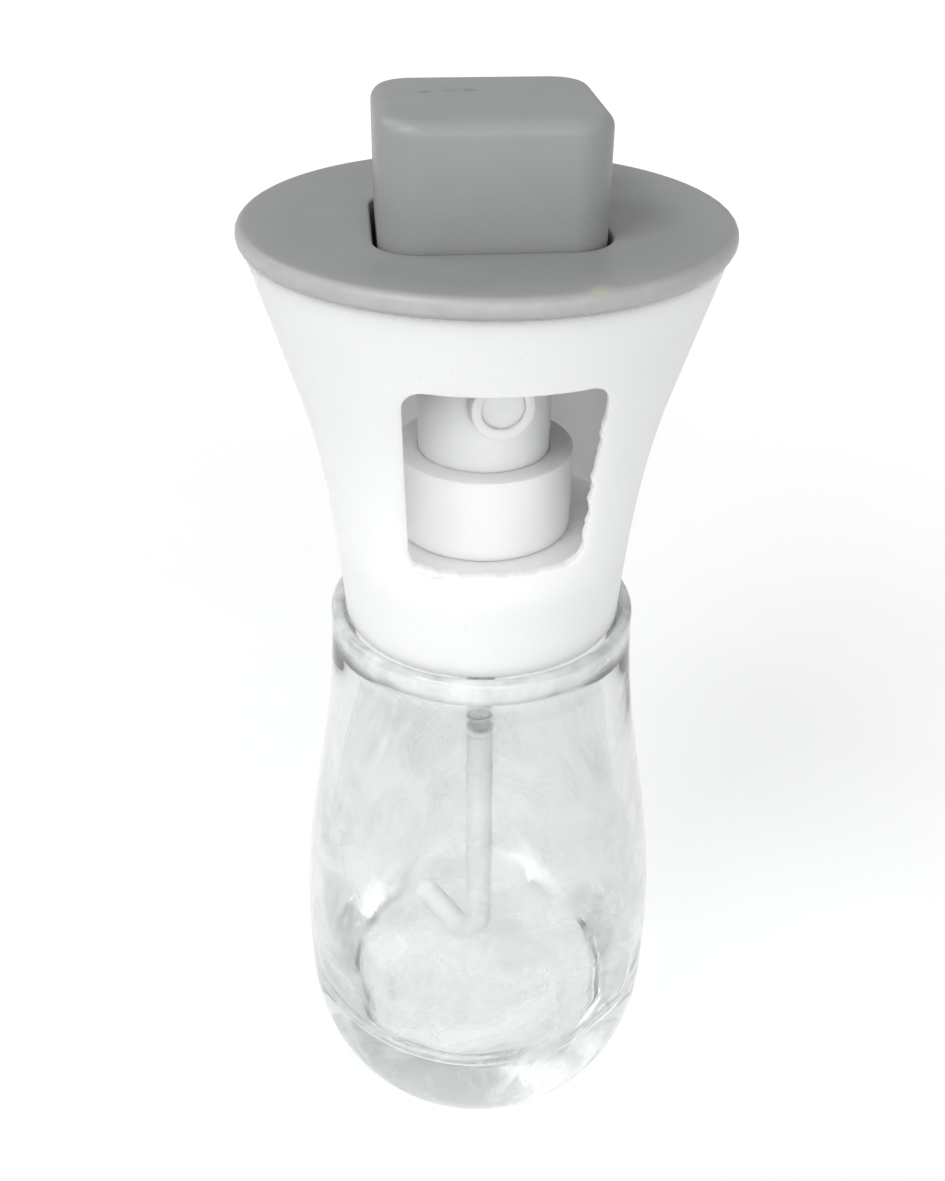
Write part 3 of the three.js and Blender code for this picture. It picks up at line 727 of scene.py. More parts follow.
def outer_radius(height):
    """The glass's outer radius at a height."""
    if height < HEEL_HEIGHT:
        drop = (HEEL_HEIGHT - height) / HEEL_HEIGHT
        return BELLY_RADIUS - HEEL_REACH * (1 - math.sqrt(max(1 - drop * drop, 0)))
    if height < SHOULDER_START:
        return BELLY_RADIUS
    share = min((height - SHOULDER_START) / (HOUSING_LEVEL - SHOULDER_START), 1)
    return BELLY_RADIUS + (LIP_RADIUS - BELLY_RADIUS) * (1 - math.cos(math.pi * share)) / 2


# Housing with its window


def housing_radius(height):
    """Outer radius at a height above the lower edge."""
    curved = min(height, FLARE_HEIGHT)
    gain = (FLARE_SLOPE - FOOT_SLOPE) * curved ** 3 / (3 * FLARE_HEIGHT ** 2)
    return HOUSING_FOOT + FOOT_SLOPE * curved + gain + FLARE_SLOPE * max(height - FLARE_HEIGHT, 0)


def window_outline(grow):
    """Points (x, height) of the window's edge, grown outwards, from the middle of the lower right
    corner anticlockwise, with the uneven edge that the real moulding has."""
    per_corner, per_side = 12, 60
    right_from = 8              # the right side's unevenness starts at this x
    sill_band = 1.5             # and the sill's ends at this height above it
    sill = HOUSING_FLOOR_HEIGHT + WINDOW_SILL
    top = sill + WINDOW_HEIGHT
    corner = WINDOW_CORNER + grow
    low, high = sill + WINDOW_CORNER, top - WINDOW_CORNER
    centres = [
        (WINDOW_BOTTOM_HALF - WINDOW_CORNER, low, -90),
        (WINDOW_TOP_HALF - WINDOW_CORNER, high, 0),
        (WINDOW_CORNER - WINDOW_TOP_HALF, high, 90),
        (WINDOW_CORNER - WINDOW_BOTTOM_HALF, low, 180),
    ]
    made = []
    for x, z, start in centres:
        arc_points = [
            (
                x + corner * math.cos(math.radians(start + 90 * k / per_corner)),
                z + corner * math.sin(math.radians(start + 90 * k / per_corner)),
            )
            for k in range(per_corner + 1)
        ]
        made.append(arc_points)
    full = []
    half = per_corner // 2
    for k in range(4):
        this, following = made[k], made[(k + 1) % 4]
        full += this[half:]
        full += straight(this[-1], following[0], per_side)[:-1]
        full += following[:half]
    rough = random.Random(7)
    bumps = [rough.uniform(-1, 1) for _ in full]
    shaped = []
    for i, (x, z) in enumerate(full):
        wobble = (bumps[i] + bumps[i - 1]) / 2
        if x > right_from and z < high:
            size, sideways = RAGGED_RIGHT, 1
        else:
            size, sideways = RAGGED_SILL if z < sill + sill_band else RAGGED_REST, 0.3
        shaped.append((x + wobble * size * sideways, z + wobble * size))
    return shaped


def housing():
    """Shell as two skins with a window whose rim joins them, and the floor that holds the pump."""
    columns, half_columns = 216, 36         # round the shell, and half those that the window takes
    step = 2 * math.pi / columns
    rows_low, rows_window, rows_high = 10, 46, 9
    tiny = 1e-9
    # The grid of points is left open over a field somewhat larger than the window
    window_low, window_high = HOUSING_FLOOR_HEIGHT + 1.2, HOUSING_HEIGHT - 7.0
    heights = (
        [window_low * i / rows_low for i in range(rows_low)]
        + [window_low + (window_high - window_low) * i / rows_window for i in range(rows_window)]
        + [window_high + (HOUSING_HEIGHT - window_high) * i / rows_high for i in range(rows_high + 1)]
    )
    first_row, last_row = rows_low, rows_low + rows_window
    points, faces = [], []

    def at(radius, angle, height):
        return Vector((radius * math.sin(angle), -radius * math.cos(angle), HOUSING_LEVEL + height))

    def skin_point(inset, angle, height):
        return at(housing_radius(height) - inset, angle, height)

    def grid(inset, from_row):
        index = {}
        for r in range(from_row, len(heights)):
            for c in range(columns):
                index[r, c] = len(points)
                points.append(skin_point(inset, (c - half_columns) * step, heights[r]))
        return index

    def in_window(r, c):
        return first_row <= r < last_row and c < 2 * half_columns

    outer = grid(0, 0)
    floor_row = next(i for i, h in enumerate(heights) if h >= HOUSING_FLOOR_HEIGHT)
    inner = grid(HOUSING_WALL, floor_row)

    def skin_faces(index, from_row, flip):
        for r in range(from_row, len(heights) - 1):
            for c in range(columns):
                if in_window(r, c):
                    continue
                d = (c + 1) % columns
                face = [index[r, c], index[r, d], index[r + 1, d], index[r + 1, c]]
                faces.append(face[::-1] if flip else face)

    skin_faces(outer, 0, False)
    skin_faces(inner, floor_row, True)

    # The window's border on the grid, from its lower right corner anticlockwise
    border = [(first_row + k, 2 * half_columns) for k in range(rows_window)]
    border += [(last_row, 2 * half_columns - k) for k in range(2 * half_columns)]
    border += [(last_row - k, 0) for k in range(rows_window)]
    border += [(first_row, k) for k in range(2 * half_columns)]

    runs = [rows_window, 2 * half_columns, rows_window, 2 * half_columns]

    def sample(outline):
        """Spreads the outline's four sides over the border's four runs of points."""
        count = len(outline) // 4
        made = []
        for side, length in enumerate(runs):
            run = [outline[(side * count + k) % len(outline)] for k in range(count + 1)]
            spans = [0.0]
            for a, b in zip(run, run[1:]):
                spans.append(spans[-1] + math.dist(a, b))
            for k in range(length):
                want = spans[-1] * k / length
                i = max(j for j in range(count) if spans[j] <= want + tiny)
                share = (want - spans[i]) / max(spans[i + 1] - spans[i], tiny)
                made.append(tuple(a + (b - a) * share for a, b in zip(run[i], run[i + 1])))
        return made

    rim_steps = 4

    def rim_rows(inset, grid_index):
        """Rows of points from the border on the grid to the cut wall of the window."""
        rows = [[grid_index[b] for b in border]]
        cell = [((b[1] - half_columns) * step, heights[b[0]]) for b in border]
        depth_in = 1 if inset == 0 else -1
        on_skin = []
        for x, height in sample(window_outline(WINDOW_EDGE)):
            radius = housing_radius(height) - inset
            on_skin.append((math.asin(x / radius), height))
        for share in (0.3, 0.55, 0.75, 0.9, 1.0):
            row = []
            for (angle_a, height_a), (angle_b, height_b) in zip(cell, on_skin):
                angle = angle_a + (angle_b - angle_a) * share
                height = height_a + (height_b - height_a) * share
                row.append(len(points))
                points.append(skin_point(inset, angle, height))
            rows.append(row)
        for k in range(1, rim_steps + 1):
            turn = math.pi / 2 * k / rim_steps
            grow = WINDOW_EDGE * (1 - math.sin(turn))
            depth = WINDOW_EDGE * (1 - math.cos(turn))
            row = []
            for x, height in sample(window_outline(grow)):
                radius = housing_radius(height) - inset
                y = -math.sqrt(radius * radius - x * x) + depth_in * depth
                row.append(len(points))
                points.append(Vector((x, y, HOUSING_LEVEL + height)))
            rows.append(row)
        return rows

    def strip(rows, flip):
        for low, high in zip(rows, rows[1:]):
            for i in range(len(low)):
                j = (i + 1) % len(low)
                face = [low[i], low[j], high[j], high[i]]
                faces.append(face[::-1] if flip else face)

    outer_rim = rim_rows(0, outer)
    inner_rim = rim_rows(HOUSING_WALL, inner)
    strip(outer_rim, False)
    strip(inner_rim, True)
    strip([outer_rim[-1], inner_rim[-1]], False)

    # Top edge, the floor and the hollow foot below it
    def ring_at(radius, height):
        row = []
        for c in range(columns):
            row.append(len(points))
            points.append(at(radius, (c - half_columns) * step, height))
        return row

    top_outer = [outer[len(heights) - 1, c] for c in range(columns)]
    top_inner = [inner[len(heights) - 1, c] for c in range(columns)]
    strip([top_outer, top_inner], False)
    hole = NECK_RADIUS + FIT_GAP
    under = HOUSING_FLOOR_HEIGHT - HOUSING_FLOOR
    wall_above = housing_radius(HOUSING_FLOOR_HEIGHT) - HOUSING_WALL
    wall_below = housing_radius(under) - HOUSING_WALL
    foot = HOUSING_FOOT - HOUSING_WALL
    soft, corner, foot_edge, outer_edge_height = 0.2, 0.4, 0.25, 0.35
    inside = [
        [inner[floor_row, c] for c in range(columns)],
        # soft corner between wall and floor
        ring_at(wall_above - 0.02, HOUSING_FLOOR_HEIGHT + 0.5),
        ring_at(wall_above - 0.2, HOUSING_FLOOR_HEIGHT + 0.12),
        ring_at(wall_above - 0.6, HOUSING_FLOOR_HEIGHT),
        # hole for the adapter's neck, and the floor's underside
        ring_at(hole + soft, HOUSING_FLOOR_HEIGHT),
        ring_at(hole, HOUSING_FLOOR_HEIGHT - soft),
        ring_at(hole, under + soft),
        ring_at(hole + soft, under),
        ring_at(wall_below - corner, under),
        ring_at(wall_below, under - corner),
        ring_at(housing_radius(under / 2) - HOUSING_WALL, under / 2),
        # lower edge, with its rounded outer corner
        ring_at(foot, foot_edge),
        ring_at(foot + foot_edge, 0),
        ring_at(HOUSING_FOOT - 0.3, 0),
        ring_at(HOUSING_FOOT - 0.08, 0.1),
        [outer[0, c] for c in range(columns)],
    ]
    for c in range(columns):
        points[outer[0, c]] = skin_point(0, (c - half_columns) * step, outer_edge_height)
    strip(inside, False)
    return piece(
        "housing_moulded", points, faces, THIN_WHITE, "head", "white_plastic", "housing",
    )


# Cover disc


def top_cover():
    """Disc with the button's hole: loops from the hole outwards, round the rim and back below."""
    half_x, half_y = BUTTON_HALF[0] + BUTTON_GAP, BUTTON_HALF[1] + BUTTON_GAP
    corner = BUTTON_CORNER + BUTTON_GAP
    edge_soft = 0.3
    circle_from = COVER_DISH_RADIUS + 6     # the loops are round from this radius outwards
    top = RIM_LEVEL
    dish = RIM_LEVEL - COVER_DISH
    edge = COVER_RADIUS - COVER_EDGE
    ring_out = housing_radius(HOUSING_HEIGHT - COVER_RING_DEPTH) - HOUSING_WALL - FIT_GAP
    ring_in = ring_out - COVER_RING_WALL

    def hole(grow, height):
        return rounded_loop(half_x + grow, half_y + grow, corner + grow, height)

    like = hole(0, 0)

    def blend(share, height):
        first, last = hole(HOLE_EDGE, height), circle_loop(like, circle_from, height)
        return [a.lerp(b, share) for a, b in zip(first, last)]

    def dished(radius):
        share = clamped((radius - COVER_DISH_RADIUS) / (edge - COVER_DISH_RADIUS))
        return dish + (top - dish) * share * share * (3 - 2 * share)

    loops = [hole(0, GUIDE_LEVEL + edge_soft), hole(0, COVER_LEVEL), hole(0, dish - HOLE_EDGE)]
    loops += [
        hole(HOLE_EDGE * (1 - math.cos(t)), dish - HOLE_EDGE * (1 - math.sin(t)))
        for t in (math.radians(a) for a in (22, 45, 68, 90))
    ]
    for share in (0.15, 0.35, 0.6, 0.85):
        loops.append([
            Vector((p.x, p.y, dished(math.hypot(p.x, p.y)))) for p in blend(share, 0)
        ])
    for radius in (28.5, 30, 31.5, 33, 33.9, edge):
        loops.append(circle_loop(like, radius, dished(radius)))
    bottom_edge = COVER_LEVEL + COVER_EDGE
    rim = arc(edge, top - COVER_EDGE, COVER_EDGE, COVER_EDGE, 78, 0, 7)
    rim += arc(edge, bottom_edge, COVER_EDGE, COVER_EDGE, -8, -90, 7)
    loops += [circle_loop(like, r, z) for r, z in rim]
    ring_low = COVER_LEVEL - COVER_RING_DEPTH
    below = [
        (ring_out, COVER_LEVEL), (ring_out, ring_low + edge_soft), (ring_out - edge_soft, ring_low),
        (ring_in + edge_soft, ring_low), (ring_in, ring_low + edge_soft), (ring_in, COVER_LEVEL),
    ]
    loops += [circle_loop(like, r, z) for r, z in below]
    loops += [
        hole(GUIDE_WALL, COVER_LEVEL), hole(GUIDE_WALL, GUIDE_LEVEL + edge_soft),
        hole(GUIDE_WALL - edge_soft, GUIDE_LEVEL), hole(edge_soft, GUIDE_LEVEL),
    ]
    points, faces = lofted(loops)
    return piece(
        "cover_disc", points, faces, GREY_COVER, "head", "grey_plastic", "top_cover",
    )


# Push button


def push_button():
    """Hollow cap: crowned top, soft edges, a lip that keeps it in the cover, and an inner roof."""
    half_x, half_y = BUTTON_HALF
    low, top = BUTTON_LOW.z, BUTTON_HIGH.z
    lip_top = low + BUTTON_FLANGE_THICKNESS
    wall_soft, lip_soft, corner_soft, post_soft = 0.2, 0.3, 1.0, 0.6
    seat_gap = 0.02             # between the post and the actuator's top

    def loop(grow, height):
        return rounded_loop(half_x + grow, half_y + grow, BUTTON_CORNER + grow, height)

    inner = -BUTTON_WALL
    roof = top - BUTTON_ROOF
    loops = [
        loop(inner, low + wall_soft), loop(inner + wall_soft, low),
        loop(BUTTON_FLANGE - lip_soft, low), loop(BUTTON_FLANGE, low + lip_soft),
        loop(BUTTON_FLANGE, lip_top - lip_soft), loop(BUTTON_FLANGE - lip_soft, lip_top),
        loop(wall_soft, lip_top), loop(0, lip_top + wall_soft),
    ]
    side_low, side_top = lip_top + wall_soft, top - BUTTON_CROWN - BUTTON_FILLET
    for share in (0.2, 0.4, 0.6, 0.8, 1.0):
        loops.append(loop(0, side_low + (side_top - side_low) * share))
    for t in (math.radians(90 * k / 10) for k in range(1, 11)):
        loops.append(loop(-BUTTON_FILLET * (1 - math.cos(t)), side_top + BUTTON_FILLET * math.sin(t)))
    flat = loops[-1]
    for share in (0.85, 0.68, 0.5, 0.34, 0.2, 0.09):
        height = top - BUTTON_CROWN * share ** 2
        loops.append([Vector((p.x * share, p.y * share, height)) for p in flat])
    points, faces = lofted(loops, closed=False)
    count = len(flat)
    points.append(Vector((0, 0, top)))
    last = len(points) - 1
    start = (len(loops) - 1) * count
    faces += [[start + i, start + (i + 1) % count, last] for i in range(count)]

    # The hollow below the roof, with the post that stands on the actuator
    def add_loop(loop_points):
        begin = len(points)
        points.extend(loop_points)
        return begin

    like = loops[0]
    post_in = POST_RADIUS - POST_WALL
    seat = COLLAR_TOP + ACTUATOR_HEIGHT
    post_profile = [
        (POST_RADIUS + post_soft, roof), (POST_RADIUS, roof - post_soft),
        (POST_RADIUS, seat + wall_soft), (POST_RADIUS - wall_soft, seat + seat_gap),
        (post_in + wall_soft, seat + seat_gap), (post_in, seat + wall_soft),
        (post_in, roof - lip_soft), (post_in - lip_soft, roof),
    ]
    inside = [
        loop(inner, roof - corner_soft), loop(inner - lip_soft, roof - lip_soft),
        loop(inner - corner_soft, roof),
    ]
    inside += [circle_loop(like, radius, height) for radius, height in post_profile]
    starts = [0] + [add_loop(row) for row in inside]
    for low_start, high_start in zip(starts, starts[1:]):
        for i in range(count):
            j = (i + 1) % count
            faces.append([low_start + j, low_start + i, high_start + i, high_start + j])
    points.append(Vector((0, 0, roof)))
    last = len(points) - 1
    faces += [[starts[-1] + (i + 1) % count, starts[-1] + i, last] for i in range(count)]
    return piece(
        "button_cap", points, faces, GREY_BUTTON, "plunger", "grey_plastic", "push_button",
    )


# Pump


def pump_collar():
    """Ring with a shelf that stops the actuator. The thread is left as a clearance."""
    thread = NECK_RADIUS + THREAD_GAP
    shelf = COLLAR_TOP - BUTTON_STROKE - STOP_GAP
    profile = rounded([
        (thread, FLOOR_LEVEL), (COLLAR_RADIUS, FLOOR_LEVEL), (COLLAR_RADIUS, COLLAR_TOP),
        (COLLAR_BORE, COLLAR_TOP), (COLLAR_BORE, shelf), (COLLAR_SHELF_BORE, shelf),
        (COLLAR_SHELF_BORE, shelf - COLLAR_SHELF), (thread, shelf - COLLAR_SHELF),
    ], CRISP_EDGE)
    points, faces = turned(profile, ROUND)
    return piece(
        "collar_ring", points, faces, WHITE, "head", "white_plastic", "pump_collar",
    )


def joined(thing, other):
    """Unites two closed meshes into one skin."""
    unite = thing.modifiers.new("unite", "BOOLEAN")
    unite.operation, unite.solver, unite.object = "UNION", "EXACT", other
    evaluated = thing.evaluated_get(bpy.context.evaluated_depsgraph_get())
    mesh = bpy.data.meshes.new_from_object(evaluated)
    thing.modifiers.clear()
    old = thing.data
    thing.data = mesh
    bpy.data.meshes.remove(old)
    bpy.data.objects.remove(other)
    mesh.shade_smooth()
    mesh.set_sharp_from_angle(angle=math.radians(ACTUATOR_SHARP))
    return thing


def to_front(points):
    """Lays a piece that was turned about Z along the nozzle's direction."""
    lay = Matrix.Rotation(math.pi / 2, 3, "X")
    aim = Matrix.Rotation(ACTUATOR_TURN, 3, "Z")
    lift = Vector((0, 0, NOZZLE_LEVEL))
    return [aim @ (lay @ p) + lift for p in points]


def actuator():
    """Cap with a socket for the stem, a pin for the button, and the nozzle's boss in one skin."""
    top = COLLAR_TOP + ACTUATOR_HEIGHT
    roof = top - ACTUATOR_ROOF
    skirt = ACTUATOR_RADIUS - ACTUATOR_WALL
    skirt_end = COLLAR_TOP - SKIRT_OVERLAP
    pin = POST_RADIUS - POST_WALL - FIT_GAP
    socket_in = STEM_RADIUS + FIT_GAP
    socket_out = socket_in + SOCKET_WALL
    socket_low = NOZZLE_LEVEL - NOZZLE_INSERT_RADIUS - SOCKET_DEPTH
    socket_top = NOZZLE_LEVEL - NOZZLE_INSERT_RADIUS + FIT_GAP
    profile = rounded([
        (0, socket_top), (socket_in, socket_top), (socket_in, socket_low),
        (socket_out, socket_low), (socket_out, roof), (skirt, roof), (skirt, skirt_end),
        (ACTUATOR_RADIUS, skirt_end), (ACTUATOR_RADIUS, top), (pin, top),
        (pin, top + SOCKET_DEPTH), (0, top + SOCKET_DEPTH),
    ], radius=0.3, closed=False)
    points, faces = turned(profile, ROUND, closed=False)
    body = piece(
        "actuator_cap", points, faces, WHITE, "plunger", "white_plastic", "actuator",
        sharp=ACTUATOR_SHARP,
    )
    pocket = NOZZLE_INSERT_RADIUS + POCKET_GAP
    pocket_floor = NOZZLE_REACH - NOZZLE_RECESS - POCKET_DEPTH
    boss_root = ACTUATOR_RADIUS - 1.0
    boss_draft = 0.15
    boss = rounded([
        (0, boss_root), (NOZZLE_BOSS_RADIUS + boss_draft, boss_root),
        (NOZZLE_BOSS_RADIUS, NOZZLE_REACH), (pocket, NOZZLE_REACH), (pocket, pocket_floor),
        (0, pocket_floor),
    ], radius=0.35, closed=False)
    points, faces = turned(boss, SMALL_ROUND, closed=False)
    other = piece(
        "nozzle_boss", to_front(points), faces, WHITE, "plunger", "white_plastic",
    )
    return joined(body, other)


def nozzle_insert():
    """Disc pressed into the boss, with a shallow cone down to its orifice."""
    front = NOZZLE_REACH - NOZZLE_RECESS
    back = front - 2.2
    cone, orifice, sink = 1.5, 0.35, 0.15
    profile = rounded([
        (0, back), (NOZZLE_INSERT_RADIUS, back), (NOZZLE_INSERT_RADIUS, front), (cone, front),
        (orifice, front - sink), (0, front - sink),
    ], CRISP_EDGE, closed=False)
    points, faces = turned(profile, SMALL_ROUND, closed=False)
    return piece(
        "nozzle_disc", to_front(points), faces, WHITE, "plunger", "white_plastic", "nozzle_insert",
    )


def pump_barrel():
    """Barrel with its flange, round end, inlet and the socket that holds the dip tube."""
    flange = BARREL_TOP - PUMP_FLANGE
    end = SOCKET_END + TUBE_SOCKET_LENGTH
    bore = BARREL_RADIUS - BARREL_WALL
    socket_in = TUBE_RADIUS + FIT_GAP
    socket_out = socket_in + TUBE_SOCKET_WALL
    socket_floor = end + 0.4
    low = end + BARREL_FLOOR
    bore_corner, inlet_edge = 0.8, 0.4
    straight_wall = 4           # below the flange
    profile = rounded([
        (INLET_RADIUS, socket_floor), (socket_in, socket_floor), (socket_in, SOCKET_END),
        (socket_out, SOCKET_END), (socket_out, end),
    ], radius=0.15, steps=2, closed=False)
    profile += arc(
        BARREL_RADIUS - BARREL_ROUND, end + BARREL_ROUND, BARREL_ROUND, BARREL_ROUND, 270, 360, 8,
    )
    profile += rounded([
        (BARREL_RADIUS, flange - straight_wall), (BARREL_RADIUS, flange),
        (PUMP_FLANGE_RADIUS, flange), (PUMP_FLANGE_RADIUS, BARREL_TOP), (bore, BARREL_TOP),
        (bore, low + bore_corner), (bore - bore_corner, low), (INLET_RADIUS + inlet_edge, low),
        (INLET_RADIUS, low - inlet_edge),
    ], radius=0.2, steps=2, closed=False)
    points, faces = turned(profile, SMALL_ROUND)
    return piece(
        "pump_barrel", points, faces, BARREL, "head", "milky_plastic", "pump_body",
    )


def return_spring():
    """Coil whose end turns lie closed."""
    low_corner, high_corner = box_mm("return_spring")
    low, high = low_corner.z + SPRING_WIRE, high_corner.z - SPRING_WIRE
    per_turn = 20
    closed_pitch = 2 * SPRING_WIRE + SPRING_COIL_GAP
    closed_rise = SPRING_CLOSED_TURNS * closed_pitch
    open_turns = SPRING_TURNS - 2 * SPRING_CLOSED_TURNS
    open_pitch = (high - low - 2 * closed_rise) / open_turns

    def rise(turn):
        """Height of the wire above its lower end, after so many turns."""
        if turn < SPRING_CLOSED_TURNS:
            return turn * closed_pitch
        if turn < SPRING_TURNS - SPRING_CLOSED_TURNS:
            return closed_rise + (turn - SPRING_CLOSED_TURNS) * open_pitch
        return high - low - (SPRING_TURNS - turn) * closed_pitch

    path = []
    for i in range(SPRING_TURNS * per_turn + 1):
        angle = 2 * math.pi * i / per_turn
        path.append(Vector((
            SPRING_RADIUS * math.cos(angle), SPRING_RADIUS * math.sin(angle),
            low + rise(i / per_turn),
        )))
    points, faces = tube_along(path, SPRING_WIRE, inner=0, sides=10)
    thing = piece(
        "coil_spring", points, faces, STEEL, "head", "steel", "return_spring", sharp=60,
    )
    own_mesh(thing)
    return thing


def dip_tube():
    """Tube with one bend near the bottom, cut square at both ends."""
    level = BASE_THICKNESS + TUBE_LOWEST
    top = SOCKET_END + TUBE_SOCKET_LENGTH - FIT_GAP
    reach = THROAT_RADIUS - TUBE_THROAT_GAP - TUBE_RADIUS
    aside = Vector((math.cos(TUBE_DIRECTION), math.sin(TUBE_DIRECTION), 0))

    def at(out, height):
        return aside * out + Vector((0, 0, height))

    route = [(0, top)] + straight((0, top), (0, level + TUBE_BEND), 16)[:-1]
    route += arc(TUBE_BEND, level + TUBE_BEND, TUBE_BEND, TUBE_BEND, 180, 270, 24)
    route += straight((TUBE_BEND, level), (reach, level), 10)
    path = [at(out, height) for out, height in route]
    points, faces = tube_along(path, TUBE_RADIUS, inner=TUBE_RADIUS - TUBE_WALL, sides=32)
    return piece(
        "suction_tube", points, faces, MILKY, "head", "milky_plastic", "dip_tube",
    )


def neck_adapter():
    """Plug with its spigot, flange, web, and the ring and neck that carry housing and pump."""
    low, high = box_mm("neck_adapter")
    level = low.z + SPIGOT_DEPTH
    web_top = level + ADAPTER_WEB
    spigot = THROAT_RADIUS - FIT_GAP
    spigot_in = spigot - SPIGOT_WALL
    flange = LIP_RADIUS - MOUTH_WALL - FIT_GAP
    inside = HOUSING_FOOT - HOUSING_WALL
    under = FLOOR_LEVEL - HOUSING_FLOOR
    profile = rounded([
        (NECK_BORE, level), (spigot_in, level), (spigot_in, low.z), (spigot, low.z),
        (spigot, level), (flange, level), (flange, HOUSING_LEVEL), (inside, HOUSING_LEVEL),
        (inside, web_top), (SHOULDER_RADIUS, web_top), (SHOULDER_RADIUS, under),
        (NECK_RADIUS, under), (NECK_RADIUS, high.z), (NECK_BORE, high.z),
    ], radius=0.25, steps=2)
    points, faces = turned(profile, ROUND)
    return piece(
        "adapter_plug", points, faces, CLEAR, "head", "clear_plastic", "neck_adapter",
    )


def mouth_gasket():
    """Soft ring between the adapter's flange and the ledge in the glass."""
    low, high = box_mm("mouth_gasket")
    bore = THROAT_RADIUS + FIT_GAP
    profile = rounded([
        (bore, low.z), (high.x, low.z), (high.x, high.z), (bore, high.z),
    ], radius=0.3)
    points, faces = turned(profile, ROUND)
    return piece(
        "mouth_seal", points, faces, RUBBER, "head", "silicone", "mouth_gasket",
    )


def hidden_pieces():
    """CAD nodes that stay as they are and get their real finish."""
    finishes = {
        "pump_gasket": RUBBER, "stem_retainer": WHITE, "inlet_ball": STEEL, "piston": MILKY,
        "pump_stem": WHITE, "outlet_ball": STEEL,
    }
    for node, material in finishes.items():
        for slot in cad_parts[node].material_slots:
            slot.material = material


# Stage


def floor():
    """White paper that holds the object's shadow and glows plain white further away."""
    size = 3.0                  # metres to each side
    mesh = bpy.data.meshes.new("floor")
    mesh.from_pydata(
        [(-size, -size, 0), (size, -size, 0), (size, size, 0), (-size, size, 0)], [], [(0, 1, 2, 3)],
    )
    material, tree = new_material("white_paper_sweep")
    tone = add(
        tree, "ShaderNodeMix", {"data_type": "RGBA"}, Factor=mottle(tree, 60, 0, 1, detail=2),
        A="#F8F9F9", B="#FBFCFC",
    )
    paper = add(tree, "ShaderNodeBsdfDiffuse", Color=tone, Roughness=0.5)
    path = add(tree, "ShaderNodeLightPath")
    mirrored = add(
        tree, "ShaderNodeMath", {"operation": "MAXIMUM"}, at_0=path.outputs["Is Camera Ray"],
        at_1=path.outputs["Is Glossy Ray"],
    )
    seen = add(
        tree, "ShaderNodeMath", {"operation": "MAXIMUM"}, at_0=mirrored,
        at_1=path.outputs["Is Transmission Ray"],
    )
    near = spot(tree, (0, 0, 0), SWEEP_NEAR, SWEEP_FAR - SWEEP_NEAR)
    share = add(tree, "ShaderNodeMapRange", Value=near, To_Min=1, To_Max=SWEEP_GLOW)
    lift = add(tree, "ShaderNodeMath", {"operation": "MULTIPLY"}, at_0=seen, at_1=share)
    glow = add(tree, "ShaderNodeEmission", Color="#FFFFFF", Strength=1.05)
    both = add(tree, "ShaderNodeMixShader", at_0=lift, at_1=paper, at_2=glow)
    add(tree, "ShaderNodeOutputMaterial", Surface=both)
    mesh.materials.append(material)
    thing = bpy.data.objects.new("floor", mesh)
    bpy.context.scene.collection.objects.link(thing)


def softbox(name, place, aim, width, height, power):
    """A lamp with its sizes in metres and its power in watts."""
    lamp = bpy.data.lights.new(name, "AREA")
    lamp.shape, lamp.size, lamp.size_y, lamp.energy = "RECTANGLE", width, height, power
    thing = bpy.data.objects.new(name, lamp)
    bpy.context.scene.collection.objects.link(thing)
    thing.location = place
    thing.rotation_euler = (Vector(aim) - Vector(place)).to_track_quat("-Z", "Y").to_euler()
    return thing


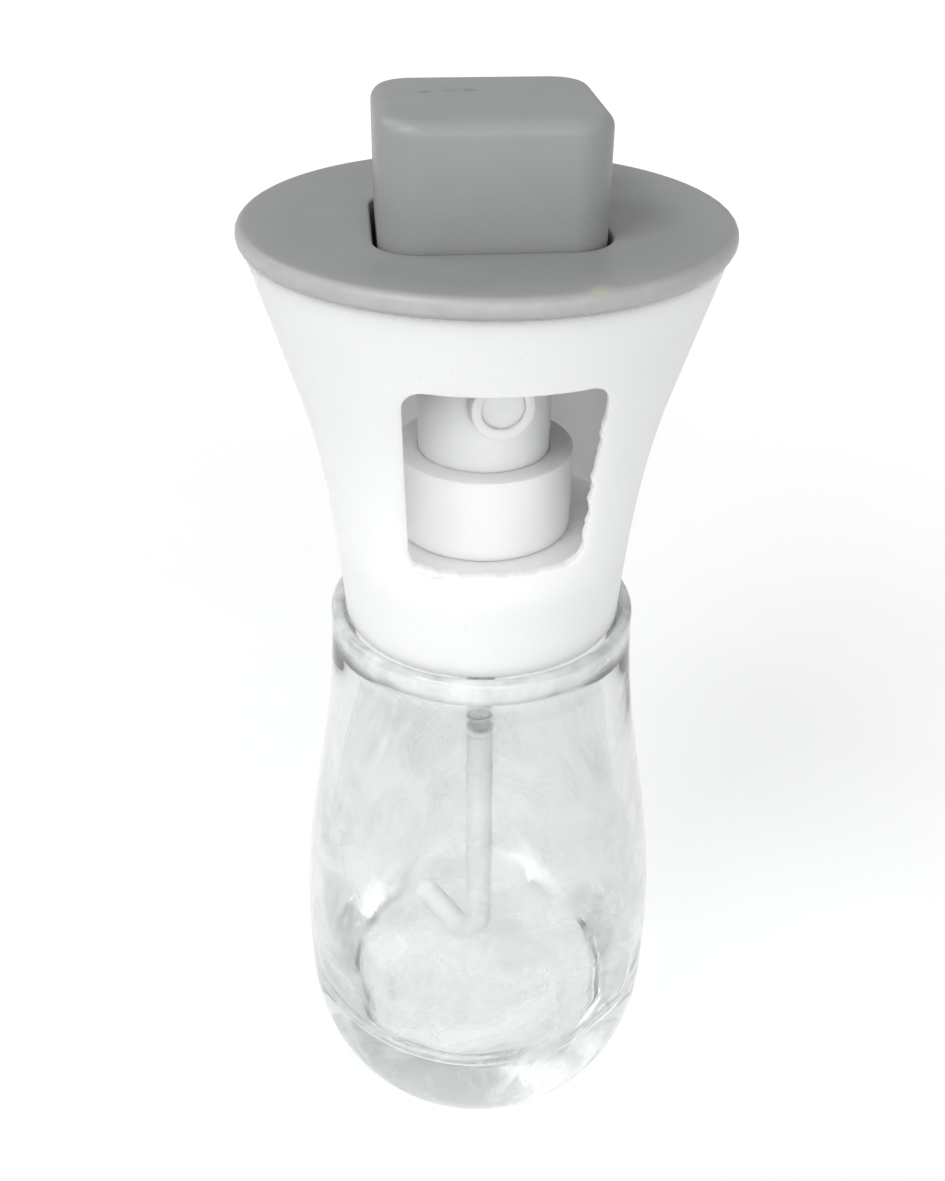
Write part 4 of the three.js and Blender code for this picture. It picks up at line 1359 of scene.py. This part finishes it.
def lights():
    """A key lamp from the upper left, a fill from the front and a weak one from behind, in a soft
    room. The camera sees the room plain white, and what is seen through glass partly so."""
    middle = (0, 0, 0.1)
    softbox("key", (-0.52, -0.5, 0.92), middle, width=0.45, height=0.45, power=5.5)
    softbox("front_fill", (0.1, -1.0, 0.42), middle, width=0.9, height=0.7, power=3.7)
    softbox("back_left", (-0.5, 0.4, 0.75), middle, width=0.3, height=0.3, power=0.9)
    world = bpy.data.worlds.new("studio")
    world.use_nodes = True
    bpy.context.scene.world = world
    tree = world.node_tree
    tree.nodes.clear()
    path = add(tree, "ShaderNodeLightPath")
    plain = add(tree, "ShaderNodeBackground", Color="#FFFFFF", Strength=1)
    soft = add(tree, "ShaderNodeBackground", Color="#F4F5F5", Strength=0.55)
    dimmed = add(
        tree, "ShaderNodeMath", {"operation": "MULTIPLY"}, at_0=path.outputs["Is Transmission Ray"],
        at_1=0.42,
    )
    seen = add(
        tree, "ShaderNodeMath", {"operation": "MAXIMUM"}, at_0=path.outputs["Is Camera Ray"],
        at_1=dimmed,
    )
    pick = add(tree, "ShaderNodeMixShader", at_0=seen, at_1=soft, at_2=plain)
    add(tree, "ShaderNodeOutputWorld", Surface=pick)


def camera():
    """At the photograph's viewing angle, held close and looking down at about 32 degrees. Its place
    is in millimetres."""
    focal_px, long_side_px = 1300.0, 1181.0
    sensor = 36.0
    place = Vector((-19.95, -185.85, 225.6))
    lens = bpy.data.cameras.new("camera")
    lens.sensor_fit, lens.sensor_width = "AUTO", sensor
    lens.lens = focal_px * sensor / long_side_px
    lens.clip_start, lens.clip_end = 0.01, 20
    thing = bpy.data.objects.new("camera", lens)
    bpy.context.scene.collection.objects.link(thing)
    pitch, heading, roll = math.radians(32.483), math.radians(-5.65), math.radians(0.519)
    ahead = Vector((
        -math.sin(heading) * math.cos(pitch), math.cos(heading) * math.cos(pitch), -math.sin(pitch),
    ))
    side = ahead.cross(Vector((0, 0, 1))).normalized()
    up = side.cross(ahead)
    right = side * math.cos(roll) + up * math.sin(roll)
    above = up * math.cos(roll) - side * math.sin(roll)
    turn = Matrix((right, above, -ahead)).transposed()
    thing.matrix_world = Matrix.Translation(place * MM) @ turn.to_4x4()
    bpy.context.scene.camera = thing


glass_bottle()
housing()
top_cover()
push_button()
pump_collar()
actuator()
nozzle_insert()
pump_barrel()
return_spring()
dip_tube()
neck_adapter()
mouth_gasket()
hidden_pieces()
floor()
lights()
camera()

bpy.context.scene.view_settings.view_transform = "Standard"
